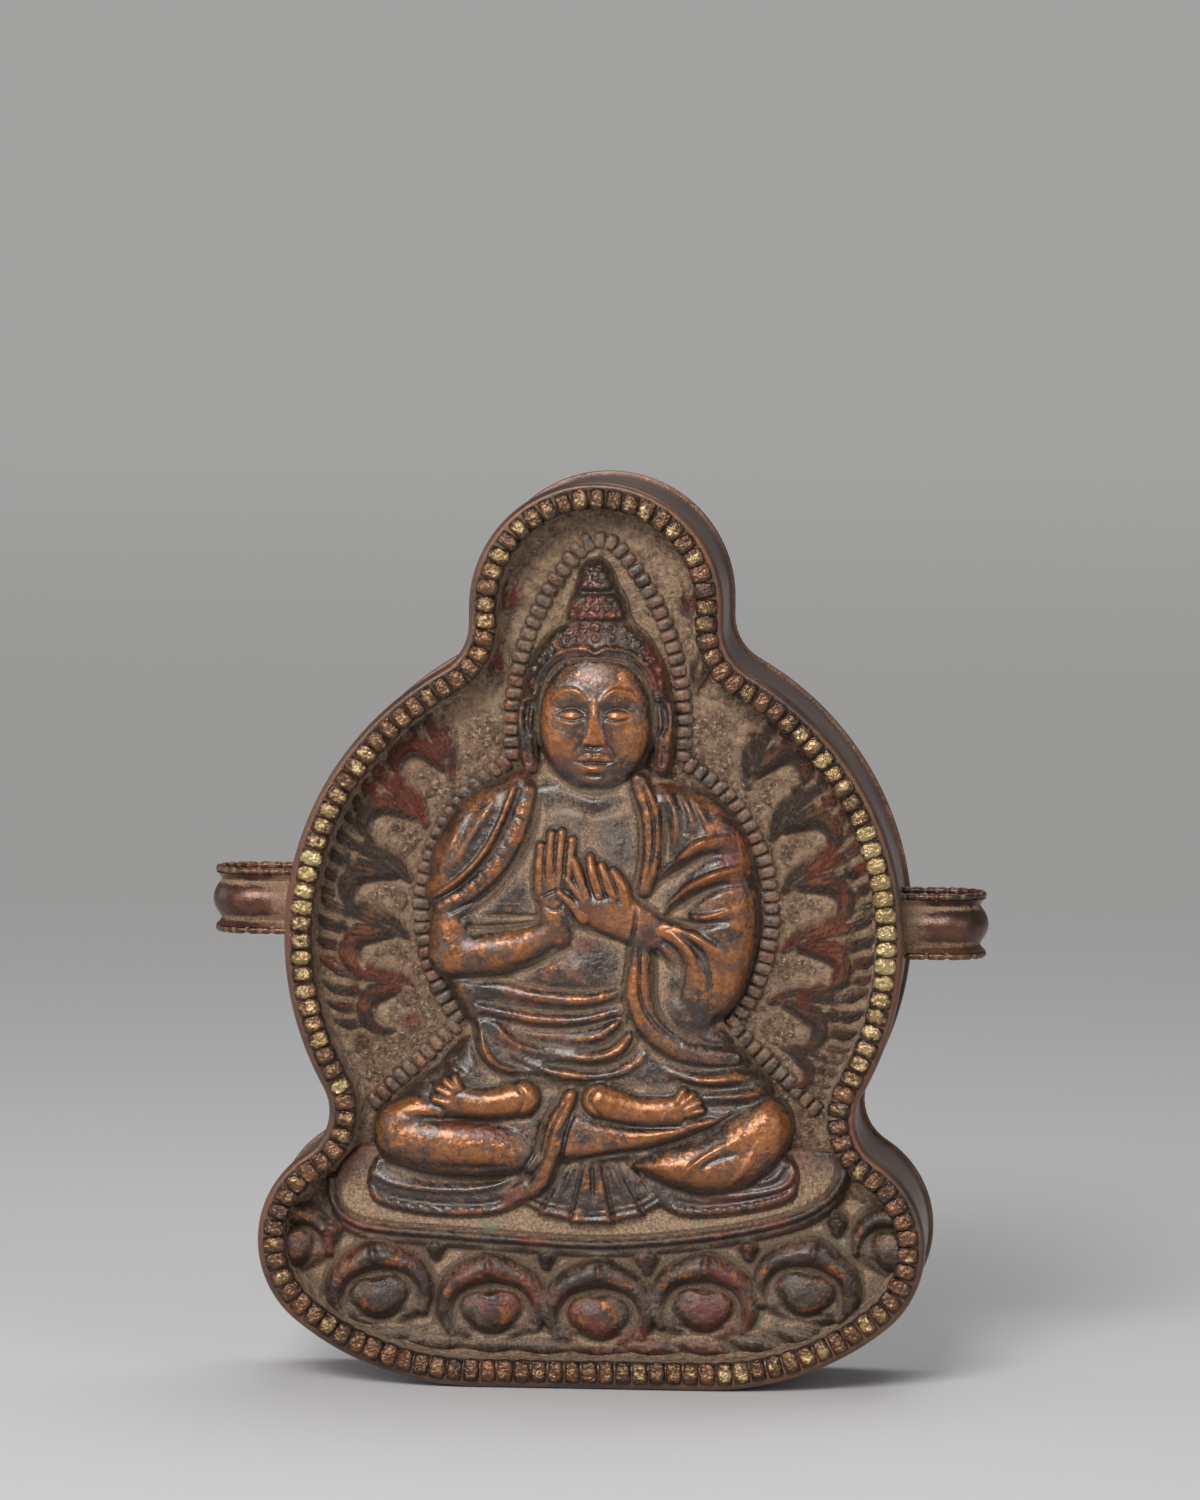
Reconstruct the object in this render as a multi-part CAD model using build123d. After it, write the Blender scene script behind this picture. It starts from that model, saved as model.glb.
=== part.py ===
"""Ghau amulet box in copper: a front case with a raised figure panel, and a back cover that slides out of it.

Millimetres, +Z up, the figure faces -Y, and the origin is the middle of the base.
"""

import math
import os

from build123d import *

# Case outline from the front: a head arch above a round body above a lobed base
body_radius = 37.5
body_centre_height = 54.6
head_radius = 15.4
head_straight = 2.13
neck_fillet = 6.0
waist_fillet = 6.0
lobe_radius = 12.6
lobe_centre_height = 17.5
base_half_width = 40.5
base_flat_half = 14.0

# Case depth, and how far the panel lies behind the tops of the rim's beads
case_depth = 26.0
ground_recess = 6.5

# Sheet metal and the fits between the pieces
sheet = 0.6
cover_sheet = 0.5
rim_overhang = 0.5
rim_lip_depth = 2.0
plate_clearance = 0.05
cover_clearance = 0.2
cover_end_gap = 0.5

# Beaded wires on the rim and on the panel
bead_radius = 1.1
bead_pitch = 2.05
bead_margin = 0.05
mandorla_bead_radius = 0.9
mandorla_bead_pitch = 1.48

# Mandorla, the beaded line around the figure, as gaps from the case outline
mandorla_body_margin = 16.2
mandorla_waist_drop = 13.5
mandorla_foot_gap = 1.8
mandorla_foot_lift = 0.9
mandorla_head_gap = 1.6
mandorla_top_gap = 4.0
mandorla_arch_rise = 22.7
mandorla_tip_radius = 3.2

# Carrying loops on the sides, and the wires on their edges
loop_rise = 2.45
loop_stagger = 0.95
loop_projection = 10.3
loop_strip_height = 6.4
loop_strip = 0.7
loop_bulge = 0.8
loop_mid_radius = 3.9
loop_wire_radius = 0.45

# Lotus base: a panel, the round seat seen from the front, and rows of petals
seat_height = 17.5
seat_margin = 5.7
seat_half_height = 6.0
seat_relief = 1.5
panel_relief = 0.9
petal_count = 5
petal_pitch = 12.9
petal_height = 10.8
petal_side_rise = 0.6
petal_half_width = 6.0
petal_half_height = 4.9
petal_relief = 2.6
petal_rim = 1.1
petal_hollow = 1.0
petal_boss_radius = 2.6
bud_radius = 1.2
bud_height = 4.9
low_petal_drop = 5.6
low_petal_half_width = 5.6
low_petal_half_height = 1.7
low_petal_relief = 1.5

# Flame leaves on the ground between the mandorla and the rim
leaf_count = 6
leaf_first_angle = -34.0
leaf_step_angle = 16.0
leaf_tip_gap = 1.6
leaf_length = 6.6
leaf_thickness = 1.5
leaf_tip_thickness = 0.6
leaf_turn = 4.0

# Prayer scroll kept in the cover, tied with a thread
scroll_radius = 4.0
scroll_length = 24.0
scroll_setback = 4.0
thread_thickness = 0.4
thread_width = 1.6
thread_clearance = 0.03

# Planes along Y
front_face = -case_depth / 2
back_face = case_depth / 2
rim_face = front_face + bead_radius
wall_front = rim_face + sheet
ground_face = front_face + ground_recess
ground_back = ground_face + sheet
cover_seat = back_face - sheet

# Insets from the outer outline
wall_inset = rim_overhang
wall_inner_inset = wall_inset + sheet
bead_inset = wall_inner_inset + bead_radius - bead_margin
rim_width = bead_inset + bead_radius + bead_margin
panel_inset = rim_width + plate_clearance
cover_wall_inset = wall_inner_inset + cover_clearance
cover_inner_inset = cover_wall_inset + cover_sheet

# Figure on a grid of squares between the seat and the tip of the mandorla
figure_top_gap = 2.2
figure_grid = 83
figure_chest = 40

# Raised forms: two ends as (x, height), then half width and relief at each end, in grid squares
figure_forms = {
    "chest": ((-1, 26), (-0.8, 50), (12.0, 4.8), (10.0, 4.6)),
    "waist": ((-7, 27.4), (7, 27.4), (9.5, 4.4), (9.5, 4.4)),
    "neck": ((0, 50), (0, 57), (5.0, 4.4), (4.6, 4.4)),
    "face": ((0, 61.4), (0, 65.2), (6.4, 6.1), (6.9, 6.2)),
    "hair": ((0, 64.6), (0, 68.4), (9.6, 5.2), (8.8, 5.2)),
    "crown": ((0, 71), (0, 75), (6.4, 4.4), (4.6, 4.2)),
    "topknot": ((0, 76.0), (0, 77.6), (4.2, 4.3), (3.7, 4.2)),
    "knot_tip": ((-0.3, 79.8), (-0.3, 81.0), (2.6, 4.0), (2.2, 3.6)),
    "lap": ((-13, 16.2), (13, 16.2), (9.0, 4.3), (9.0, 4.3)),
    "left_hip": ((-11.6, 23.4), (-10.6, 30.0), (5.6, 4.5), (5.2, 4.6)),
    "left_forearm": ((-16.8, 34.8), (-5.0, 38.0), (3.2, 5.2), (2.5, 5.5)),
    "right_forearm": ((14.0, 33.4), (6.6, 38.6), (4.2, 5.4), (2.5, 5.5)),
    "sleeve_fall": ((13.4, 34.0), (12.4, 30.2), (5.6, 5.3), (4.8, 5.0)),
    "sleeve_edge": ((5.6, 38), (5.6, 29.6), (1.9, 5.1), (2.1, 5.2)),
    "sleeve_turn": ((5.6, 29.6), (9.9, 24.2), (2.1, 5.2), (1.9, 4.8)),
    "sleeve_end": ((9.9, 24.2), (17, 22.8), (1.9, 4.8), (1.5, 4.0)),
    "lapel": ((5.6, 56), (6.9, 47), (1.9, 4.9), (2.0, 5.1)),
    "left_shoulder": ((-11.0, 52.4), (-15.8, 46.4), (4.6, 4.9), (4.6, 5.1)),
    "shoulder_cloth": ((-8.4, 54.4), (-11.8, 46.0), (2.2, 4.9), (2.4, 5.2)),
    "cloth_border": ((-11.8, 46.0), (-16.8, 41.4), (2.4, 5.2), (2.4, 5.0)),
    "left_shin": ((-22.2, 12.3), (-9.0, 10.8), (4.4, 5.0), (3.9, 5.1)),
    "left_knee": ((-23.0, 13.6), (-17.0, 15.8), (3.2, 4.8), (2.6, 4.8)),
    "right_shin": ((-3.0, 13.0), (13.4, 15.4), (3.2, 5.1), (2.0, 5.1)),
    "right_knee": ((9.0, 9.6), (19.4, 12.6), (3.4, 5.1), (5.0, 5.5)),
    "right_thigh": ((20.2, 13.2), (18.4, 16.2), (4.0, 5.0), (2.8, 4.7)),
    "middle_cloth": ((-2.9, 17.6), (-5.2, 10.4), (1.7, 5.0), (1.9, 4.9)),
    "left_seat_cloth": ((-23.6, 6.5), (-10.0, 6.2), (4.3, 2.9), (4.0, 2.9)),
    "right_seat_cloth": ((9.6, 6.6), (21.2, 7.4), (4.0, 2.9), (4.0, 2.9)),
}
paired_forms = {
    "ear": ((8.2, 65.4), (8.1, 58.6), (1.5, 3.0), (1.3, 2.8)),
    "cheek": ((2.6, 60.2), (2.3, 65.8), (4.1, 5.6), (4.5, 5.7)),
    "shoulder": ((8.0, 52.4), (13.4, 48.2), (4.6, 4.7), (6.4, 5.1)),
    "upper_arm": ((14.0, 47.4), (14.8, 36.0), (5.9, 5.2), (5.2, 5.2)),
}

# Free limbs of the hands and feet: two ends as (x, relief, height), then a radius at each end
free_limbs = {
    "raised_palm": ((-4.5, 3.5, 39.0), (-4.7, 3.6, 43.8), 2.2, 2.3),
    "turned_palm": ((6.2, 3.3, 38.6), (0.4, 3.7, 41.2), 2.2, 2.4),
    "left_foot": ((-17.0, 3.5, 17.2), (-8.5, 3.8, 17.7), 1.9, 2.2),
    "right_foot": ((10.8, 3.5, 16.4), (1.0, 3.7, 17.4), 1.8, 2.2),
}
hand_fingers = {
    "raised": {"root": (-4.7, 44.4), "tip": (-4.5, 49.4)},
    "turned": {"root": (1.7, 42.2), "tip": (0.2, 46.4)},
}
finger_count = 4
finger_spread = 1.2
finger_radius = 0.75
finger_relief = 5.1

# Pleats that fan out over the front of the seat
pleat_count = 5
pleat_root = (-0.2, 10.4)
pleat_fan = 2.9
pleat_drop = 6.1
pleat_root_radius = 1.2
pleat_hem_radius = 1.9
pleat_relief = 1.4


def arc_point(centre, radius, angle):
    return (centre[0] + radius * math.cos(angle), centre[1] + radius * math.sin(angle))


def arc_between(centre, radius, start_angle, end_angle):
    middle = (start_angle + end_angle) / 2
    return ThreePointArc(*[arc_point(centre, radius, a) for a in (start_angle, middle, end_angle)])


def angle_to(start, end):
    return math.atan2(end[1] - start[1], end[0] - start[0])


def tangent_centre(first, first_distance, second, second_distance):
    """The point at both distances, on the right of the way from the first point to the second."""
    gap = math.dist(first, second)
    along = (first_distance**2 - second_distance**2 + gap**2) / (2 * gap)
    across = math.sqrt(first_distance**2 - along**2)
    ux, uy = (second[0] - first[0]) / gap, (second[1] - first[1]) / gap
    return (first[0] + along * ux + across * uy, first[1] + along * uy - across * ux)


# Centres of the outline's arcs, on the right half
lobe = (base_half_width - lobe_radius, lobe_centre_height)
body = (0, body_centre_height)
base_run = lobe[0] - base_flat_half
base_radius = (base_run**2 + lobe[1] ** 2 - lobe_radius**2) / (2 * (lobe[1] - lobe_radius))
base = (base_flat_half, base_radius)
waist = tangent_centre(lobe, lobe_radius + waist_fillet, body, body_radius + waist_fillet)
neck_x = head_radius + neck_fillet
neck = (neck_x, body[1] + math.sqrt((body_radius + neck_fillet) ** 2 - neck_x**2))
head = (0, neck[1] + head_straight)
case_height = head[1] + head_radius

# Mandorla and figure sizes that follow from the outline
mandorla_radius = body_radius - mandorla_body_margin
mandorla_tip = case_height - rim_width - mandorla_top_gap
mandorla_head = head_radius - rim_width - mandorla_head_gap
waist_x = waist[0] - waist_fillet
mandorla_foot = (waist_x - rim_width - mandorla_foot_gap, waist[1] + mandorla_foot_lift)
seat_half_width = base_half_width - rim_width - seat_margin
seat_centre = seat_height + seat_half_height
square = (mandorla_tip - figure_top_gap - seat_height) / figure_grid
mandorla_centre = (0, seat_height + figure_chest * square)


def outline(inset):
    """The case outline as a face in the sketch plane, moved inwards by the inset."""
    base_end = angle_to(base, lobe)
    half = [
        Line((0, inset), (base_flat_half, inset)),
        arc_between(base, base_radius - inset, -math.pi / 2, base_end),
        arc_between(lobe, lobe_radius - inset, base_end, angle_to(lobe, waist)),
        arc_between(waist, waist_fillet + inset, angle_to(waist, lobe) + 2 * math.pi, angle_to(waist, body)),
        arc_between(body, body_radius - inset, angle_to(body, waist), angle_to(body, neck)),
        arc_between(neck, neck_fillet + inset, angle_to(neck, body), -math.pi),
        Line((head_radius - inset, neck[1]), (head_radius - inset, head[1])),
        arc_between(head, head_radius - inset, 0, math.pi / 2),
    ]
    return make_face(half + [mirror(edge, about=Plane.YZ) for edge in half])


def slab(face, front, back):
    """A face of the sketch plane made solid between two planes along Y."""
    return extrude(Plane.XZ.offset(-back) * face, amount=back - front)


def ring(outer_inset, inner_inset, front, back):
    return slab(outline(outer_inset) - outline(inner_inset), front, back)


def limb(start, end, start_radius, end_radius):
    """A round-ended tapering limb, turned about the line between its two ends."""
    start, end = Vector(*start), Vector(*end)
    length = (end - start).length
    slope = (start_radius - end_radius) / length
    flank = math.sqrt(1 - slope**2)
    tilt = math.asin(slope)
    heel = arc_between((0, 0), start_radius, -math.pi / 2, tilt)
    toe = arc_between((0, length), end_radius, tilt, math.pi / 2)
    side = Line(
        (start_radius * flank, start_radius * slope),
        (end_radius * flank, length + end_radius * slope),
    )
    axis = Line((0, length + end_radius), (0, -start_radius))
    profile = make_face([heel, side, toe, axis])
    along = (end - start).normalized()
    across = along.cross(Vector(0, 1, 0)).normalized()
    place = Plane(origin=start, x_dir=across, z_dir=across.cross(along))
    return place * revolve(profile, Axis.Y)


def raised_form(start, end, start_section, end_section):
    """A limb sunk into the ground so that it shows with a half width and a relief at each end."""
    ends, radii = [], []
    for (x, z), (half_width, relief) in ((start, start_section), (end, end_section)):
        radius = (half_width**2 + relief**2) / (2 * relief) * square
        ends.append((x * square, ground_face - relief * square + radius, seat_height + z * square))
        radii.append(radius)
    return limb(*ends, *radii)


def free_limb(start, end, start_radius, end_radius):
    ends = [(x * square, ground_face - relief * square, seat_height + z * square) for x, relief, z in (start, end)]
    return limb(*ends, start_radius * square, end_radius * square)


def bead_chain(path, pitch, radius, plane_y, closed):
    """Overlapping beads along a path, cut flat where they sit on their plane."""
    spans = round(path.length / pitch)
    beads = []
    for index in range(spans if closed else spans + 1):
        place = path.position_at(index / spans)
        beads.append(Pos(place.X, plane_y, place.Y) * Sphere(radius))
    return split(Part() + beads, bisect_by=Plane.XZ.offset(-plane_y), keep=Keep.TOP)


def front_wall():
    return ring(wall_inset, wall_inner_inset, wall_front, cover_seat)


def front_rim():
    """The front flange, with its lip turned back over the wall."""
    flange = ring(0, rim_width, rim_face, wall_front)
    lip = ring(0, rim_overhang, wall_front, wall_front + rim_lip_depth)
    return flange + lip


def bezel_band():
    return ring(rim_width - sheet, rim_width, wall_front, ground_face)


def bead_border():
    path = outline(bead_inset).face().outer_wire()
    return bead_chain(path, bead_pitch, bead_radius, rim_face, closed=True)


def mandorla_path():
    """The beaded line from the left foot over the head to the right foot, in the sketch plane."""
    waist_angle = -math.asin(mandorla_waist_drop / mandorla_radius)
    neck_angle = math.acos(mandorla_head / mandorla_radius)
    arch_height = mandorla_tip - mandorla_arch_rise
    tip = (0, mandorla_tip - mandorla_tip_radius)
    rise = tip[1] - arch_height
    inner = mandorla_head - mandorla_tip_radius
    arch_offset = (rise**2 - inner**2) / (2 * inner)
    arch = (-arch_offset, arch_height)
    arch_end = angle_to(arch, tip)
    half = [
        Line(mandorla_foot, arc_point(mandorla_centre, mandorla_radius, waist_angle)),
        arc_between(mandorla_centre, mandorla_radius, waist_angle, neck_angle),
        Line(arc_point(mandorla_centre, mandorla_radius, neck_angle), (mandorla_head, arch_height)),
        arc_between(arch, mandorla_head + arch_offset, 0, arch_end),
        arc_between(tip, mandorla_tip_radius, arch_end, math.pi / 2),
    ]
    edges = half + [mirror(edge, about=Plane.YZ) for edge in half]
    return Wire([edge for line in edges for edge in line.edges()])


def mandorla_beading():
    return bead_chain(mandorla_path(), mandorla_bead_pitch, mandorla_bead_radius, ground_face, closed=False)


def mandorla_field():
    """The area inside the beaded line, closed straight across between its feet."""
    path = mandorla_path()
    left, right = (-mandorla_foot[0], mandorla_foot[1]), mandorla_foot
    return make_face(path.edges() + [Line(left, right).edge()])


def mandorla_band():
    """The strip that the beads cover, with their clearance."""
    half_width = mandorla_bead_radius + plate_clearance
    path = mandorla_path()
    corners = [Pos(vertex.X, vertex.Y) * Circle(half_width) for vertex in path.vertices()]
    return trace(path, line_width=2 * half_width) + corners


def area_below(height):
    return Pos(0, height) * Rectangle(4 * base_half_width, 2 * case_height, align=(Align.CENTER, Align.MAX))


def flame_leaf(side, angle):
    """One curled leaf: a body across the ground, and a tail that turns up and outwards."""
    tip_radius = body_radius - rim_width - leaf_tip_gap
    mid_radius = tip_radius - leaf_length / 2

    def place(radius, turn):
        x, z = arc_point(body, radius, math.radians(angle + turn))
        return (side * x, ground_face, z)

    stem = limb(place(tip_radius - leaf_length, 0), place(mid_radius, -leaf_turn), leaf_thickness, leaf_thickness)
    tail = limb(place(mid_radius, 0), place(tip_radius, leaf_turn), leaf_thickness, leaf_tip_thickness)
    return [stem, tail]


def ground_plate():
    plate = slab(outline(wall_inner_inset + plate_clearance), ground_face, ground_back)
    leaves = []
    for side in (-1, 1):
        for index in range(leaf_count):
            leaves += flame_leaf(side, leaf_first_angle + index * leaf_step_angle)
    field = outline(panel_inset) - mandorla_field() - mandorla_band() - area_below(seat_centre + plate_clearance)
    return plate + (Part() + leaves & slab(field, front_face, ground_face))


def seat_outline():
    return Pos(0, seat_centre) * Ellipse(seat_half_width, seat_half_height)


def lotus_base():
    inside = outline(panel_inset)
    panel = slab(inside & area_below(seat_centre), ground_face - panel_relief, ground_face)
    shapes = [slab(seat_outline() & inside, ground_face - seat_relief, ground_face)]
    for index in range(petal_count):
        step = index - (petal_count - 1) / 2
        middle = Pos(step * petal_pitch, petal_height + petal_side_rise * step**2)
        petal = middle * Ellipse(petal_half_width, petal_half_height) & inside
        hollow = middle * Ellipse(petal_half_width - petal_rim, petal_half_height - petal_rim) & inside
        petal_face = ground_face - petal_relief
        floor = petal_face + petal_hollow
        shapes.append(slab(petal, petal_face, ground_face) - slab(hollow, petal_face, floor))
        boss = Pos(middle.position.X, floor, middle.position.Y) * Sphere(petal_boss_radius)
        shapes.append(boss & slab(inside, front_face, ground_face))
    for index in range(petal_count - 1):
        step = index - (petal_count - 2) / 2
        middle = (step * petal_pitch, petal_height + petal_side_rise * step**2)
        bud = Pos(middle[0], ground_face - panel_relief, middle[1] + bud_height) * Sphere(bud_radius)
        shapes.append(bud & slab(inside, front_face, ground_face))
        low = Pos(middle[0], middle[1] - low_petal_drop) * Ellipse(low_petal_half_width, low_petal_half_height)
        shapes.append(slab(low & inside, ground_face - low_petal_relief, ground_face))
    return panel + shapes


def seated_figure():
    forms = [raised_form(*form) for form in figure_forms.values()]
    for start, end, start_section, end_section in paired_forms.values():
        forms.append(raised_form(start, end, start_section, end_section))
        forms.append(raised_form((-start[0], start[1]), (-end[0], end[1]), start_section, end_section))
    forms += [free_limb(*form) for form in free_limbs.values()]
    for fingers in hand_fingers.values():
        root, tip = Vector(*fingers["root"]), Vector(*fingers["tip"])
        across = Vector(tip.Y - root.Y, root.X - tip.X).normalized()
        for index in range(finger_count):
            shift = across * (finger_spread * (index - (finger_count - 1) / 2))
            start, end = root + shift, tip + shift
            start, end = (start.X, finger_relief, start.Y), (end.X, finger_relief, end.Y)
            forms.append(free_limb(start, end, finger_radius, finger_radius))
    for index in range(pleat_count):
        fan = (index - (pleat_count - 1) / 2) * pleat_fan
        start = (pleat_root[0] + fan / 3, pleat_relief, pleat_root[1])
        end = (pleat_root[0] + fan, pleat_relief, pleat_root[1] - pleat_drop)
        forms.append(free_limb(start, end, pleat_root_radius, pleat_hem_radius))
    below_seat = area_below(seat_centre) - seat_outline()
    lap = (outline(panel_inset) & area_below(mandorla_foot[1])) - below_seat
    field = mandorla_field() + lap - mandorla_band()
    return (Part() + forms & slab(field, front_face, ground_face)) - lotus_base()


def loop_path(height, side):
    """The U-shaped way around a carrying loop, out from inside the wall and back."""
    wall = body_radius - wall_inset
    root = side * (wall - sheet)
    turn = side * (wall + loop_projection - loop_strip / 2 - loop_bulge - loop_mid_radius)
    tip = turn + side * loop_mid_radius
    out = Line((root, loop_mid_radius, height), (turn, loop_mid_radius, height))
    bend = ThreePointArc((turn, loop_mid_radius, height), (tip, 0, height), (turn, -loop_mid_radius, height))
    back = Line((turn, -loop_mid_radius, height), (root, -loop_mid_radius, height))
    return out + bend + back


def loop_centre_height(side):
    return body_centre_height + loop_rise - side * loop_stagger


def loop_sweep(section, height, side):
    """A section carried around a loop and trimmed where its feet meet the wall."""
    path = loop_path(height, side)
    start = Plane.YZ.offset(path.edges()[0].position_at(0).X)
    return sweep(start * section, path=path) - slab(outline(wall_inset), front_face, back_face)


def carrying_loop(side):
    """A strip bent into a loop, swelling outwards between its edges."""
    height = loop_centre_height(side)
    inner, outer = loop_mid_radius - loop_strip / 2, loop_mid_radius + loop_strip / 2
    low, high = height - loop_strip_height / 2, height + loop_strip_height / 2
    section = make_face(
        [
            ThreePointArc((outer, low), (outer + loop_bulge, height), (outer, high)),
            Line((outer, high), (inner, high)),
            ThreePointArc((inner, high), (inner + loop_bulge, height), (inner, low)),
            Line((inner, low), (outer, low)),
        ]
    )
    return loop_sweep(section, height, side)


def loop_edging(side):
    """The two wires along the upper and lower edges of a carrying loop."""
    wires = []
    for end in (-1, 1):
        height = loop_centre_height(side) + end * (loop_strip_height / 2 + loop_wire_radius)
        section = Pos(loop_mid_radius, height) * Circle(loop_wire_radius)
        wires += loop_sweep(section, height, side).solids()
    return Compound(children=wires)


def back_plate():
    return slab(outline(0), cover_seat, back_face)


def back_wall():
    return ring(cover_wall_inset, cover_inner_inset, ground_back + cover_end_gap, cover_seat)


def scroll_plane():
    """The plane across the scroll at its middle, where it lies on the floor of the cover."""
    height = cover_inner_inset + thread_thickness + thread_clearance + scroll_radius
    depth = cover_seat - scroll_setback - scroll_radius
    return Plane(origin=(0, depth, height), x_dir=(0, 1, 0), z_dir=(1, 0, 0))


def prayer_scroll():
    return scroll_plane() * Cylinder(scroll_radius, scroll_length)


def scroll_thread():
    inner = scroll_radius + thread_clearance
    band = Circle(inner + thread_thickness) - Circle(inner)
    return scroll_plane() * extrude(band, amount=thread_width / 2, both=True)


def main():
    nodes = {
        "front_wall": front_wall(),
        "front_rim": front_rim(),
        "bezel_band": bezel_band(),
        "bead_border": bead_border(),
        "ground_plate": ground_plate(),
        "mandorla_beading": mandorla_beading(),
        "lotus_base": lotus_base(),
        "seated_figure": seated_figure(),
        "left_loop": carrying_loop(-1),
        "right_loop": carrying_loop(1),
        "left_loop_edging": loop_edging(-1),
        "right_loop_edging": loop_edging(1),
        "back_plate": back_plate(),
        "back_wall": back_wall(),
        "prayer_scroll": prayer_scroll(),
        "scroll_thread": scroll_thread(),
    }
    os.makedirs("parts", exist_ok=True)
    for name, shape in nodes.items():
        export_step(shape, f"parts/{name}.step")


if __name__ == "__main__":
    main()
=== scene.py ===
import math

import bmesh
import bpy
import numpy as np
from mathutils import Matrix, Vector


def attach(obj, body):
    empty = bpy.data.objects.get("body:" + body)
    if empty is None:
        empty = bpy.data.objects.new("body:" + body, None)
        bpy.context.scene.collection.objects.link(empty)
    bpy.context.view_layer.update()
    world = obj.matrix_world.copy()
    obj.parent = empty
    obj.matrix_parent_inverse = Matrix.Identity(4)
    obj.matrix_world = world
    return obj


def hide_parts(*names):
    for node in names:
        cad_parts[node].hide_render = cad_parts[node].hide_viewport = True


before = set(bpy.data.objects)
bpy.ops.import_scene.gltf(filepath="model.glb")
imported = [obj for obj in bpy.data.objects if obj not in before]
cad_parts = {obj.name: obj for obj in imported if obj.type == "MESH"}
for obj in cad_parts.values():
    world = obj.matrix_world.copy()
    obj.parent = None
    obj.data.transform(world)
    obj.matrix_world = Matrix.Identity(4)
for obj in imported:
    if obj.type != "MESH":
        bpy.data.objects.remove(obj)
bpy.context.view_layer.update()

mm = 0.001
print("frame loaded:", len(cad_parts), "nodes")


def tone(red, green, blue):  # a screen colour, 0 to 255, as the shader's linear colour
    parts = [v / 255 for v in (red, green, blue)]
    return tuple(v / 12.92 if v < 0.04045 else ((v + 0.055) / 1.055) ** 2.4 for v in parts) + (1.0,)


class Shade:  # one socket of a material's tree; sums on values add Math nodes
    def __init__(self, tree, socket=None):
        self.tree, self.socket = tree, socket

    def node(self, kind, settings, inputs, out=0):
        made = self.tree.nodes.new("ShaderNode" + kind)
        for name, value in settings.items():
            setattr(made, name, value)
        for name, value in inputs.items():
            if isinstance(value, Shade):
                self.tree.links.new(value.socket, made.inputs[name])
            else:
                made.inputs[name].default_value = value
        return Shade(self.tree, made.outputs[out]) if made.outputs else None

    def math(self, operation, first, second=0.0):
        return self.node("Math", {"operation": operation}, {0: first, 1: second})

    def __add__(self, other):
        return self.math("ADD", self, other)

    def __radd__(self, other):
        return self.math("ADD", other, self)

    def __sub__(self, other):
        return self.math("SUBTRACT", self, other)

    def __rsub__(self, other):
        return self.math("SUBTRACT", other, self)

    def __mul__(self, other):
        return self.math("MULTIPLY", self, other)

    def __rmul__(self, other):
        return self.math("MULTIPLY", other, self)

    def band(self, low, high):  # 0 below low, 1 above high
        limits = {"Value": self, "From Min": low, "From Max": high}
        return self.node("MapRange", {"interpolation_type": "SMOOTHSTEP"}, limits)

    def over(self, under, colour):  # colour laid over under where this is 1
        return self.node("Mix", {"data_type": "RGBA"}, {0: self, 6: under, 7: colour}, 2)


class Finish:  # a material in the making, with the patterns that its colours share
    def __init__(self, name):
        self.material = bpy.data.materials.new(name)
        self.material.use_nodes = True
        self.tree = self.material.node_tree
        self.tree.nodes.clear()
        self.start = Shade(self.tree)
        self.place = self.start.node("TexCoord", {}, {}, 3)

    # size of a blotch in mm; the values lie around 0
    def noise(self, size, detail=3.0, rough=0.55, stretch=(1, 1, 1), shift=0.0):
        place = self.start.node("Mapping", {}, {"Vector": self.place, "Scale": stretch, "Location": (shift,) * 3})
        inputs = {"Vector": place, "Scale": 1 / (size * mm), "Detail": detail, "Roughness": rough}
        return (self.start.node("TexNoise", {}, inputs) - 0.5) * 4.0

    def pits(self, size):  # distance to scattered points, 0 at each
        return self.start.node("TexVoronoi", {}, {"Vector": self.place, "Scale": 1 / (size * mm)})

    def worn(self, name):  # a value painted on the mesh
        return self.start.node("Attribute", {"attribute_name": name}, {}, 2)

    def axis(self, index):  # a coordinate of the piece in mm
        return self.start.node("SeparateXYZ", {}, {0: self.place}, index) * 1000.0

    def close(self, colour, roughness, metallic, height, depth, **fixed):  # depth of the bump in mm
        bump = self.start.node("Bump", {}, {"Height": height, "Distance": depth * mm, "Strength": 1.0})
        inputs = {"Base Color": colour, "Roughness": roughness, "Metallic": metallic, "Normal": bump}
        inputs.update({name.replace("_", " "): value for name, value in fixed.items()})
        shader = self.start.node("BsdfPrincipled", {}, inputs)
        self.start.node("OutputMaterial", {}, {"Surface": shader})
        return self.material


# screen colours that the copper finishes share
patina = {
    "bright": tone(180, 118, 64),
    "amber": tone(124, 72, 38),
    "brown": tone(96, 64, 45),
    "dark": tone(51, 40, 34),
    # shade is painted shade on downward faces, line is painted shade in the finest creases
    "shade": tone(44, 35, 30),
    "line": tone(50, 40, 34),
    "red": tone(112, 48, 34),
    "dust": tone(166, 138, 110),
    "pale": tone(186, 157, 127),
    "dirt": tone(112, 88, 69),
    "verdigris": tone(106, 124, 106),
}
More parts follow.
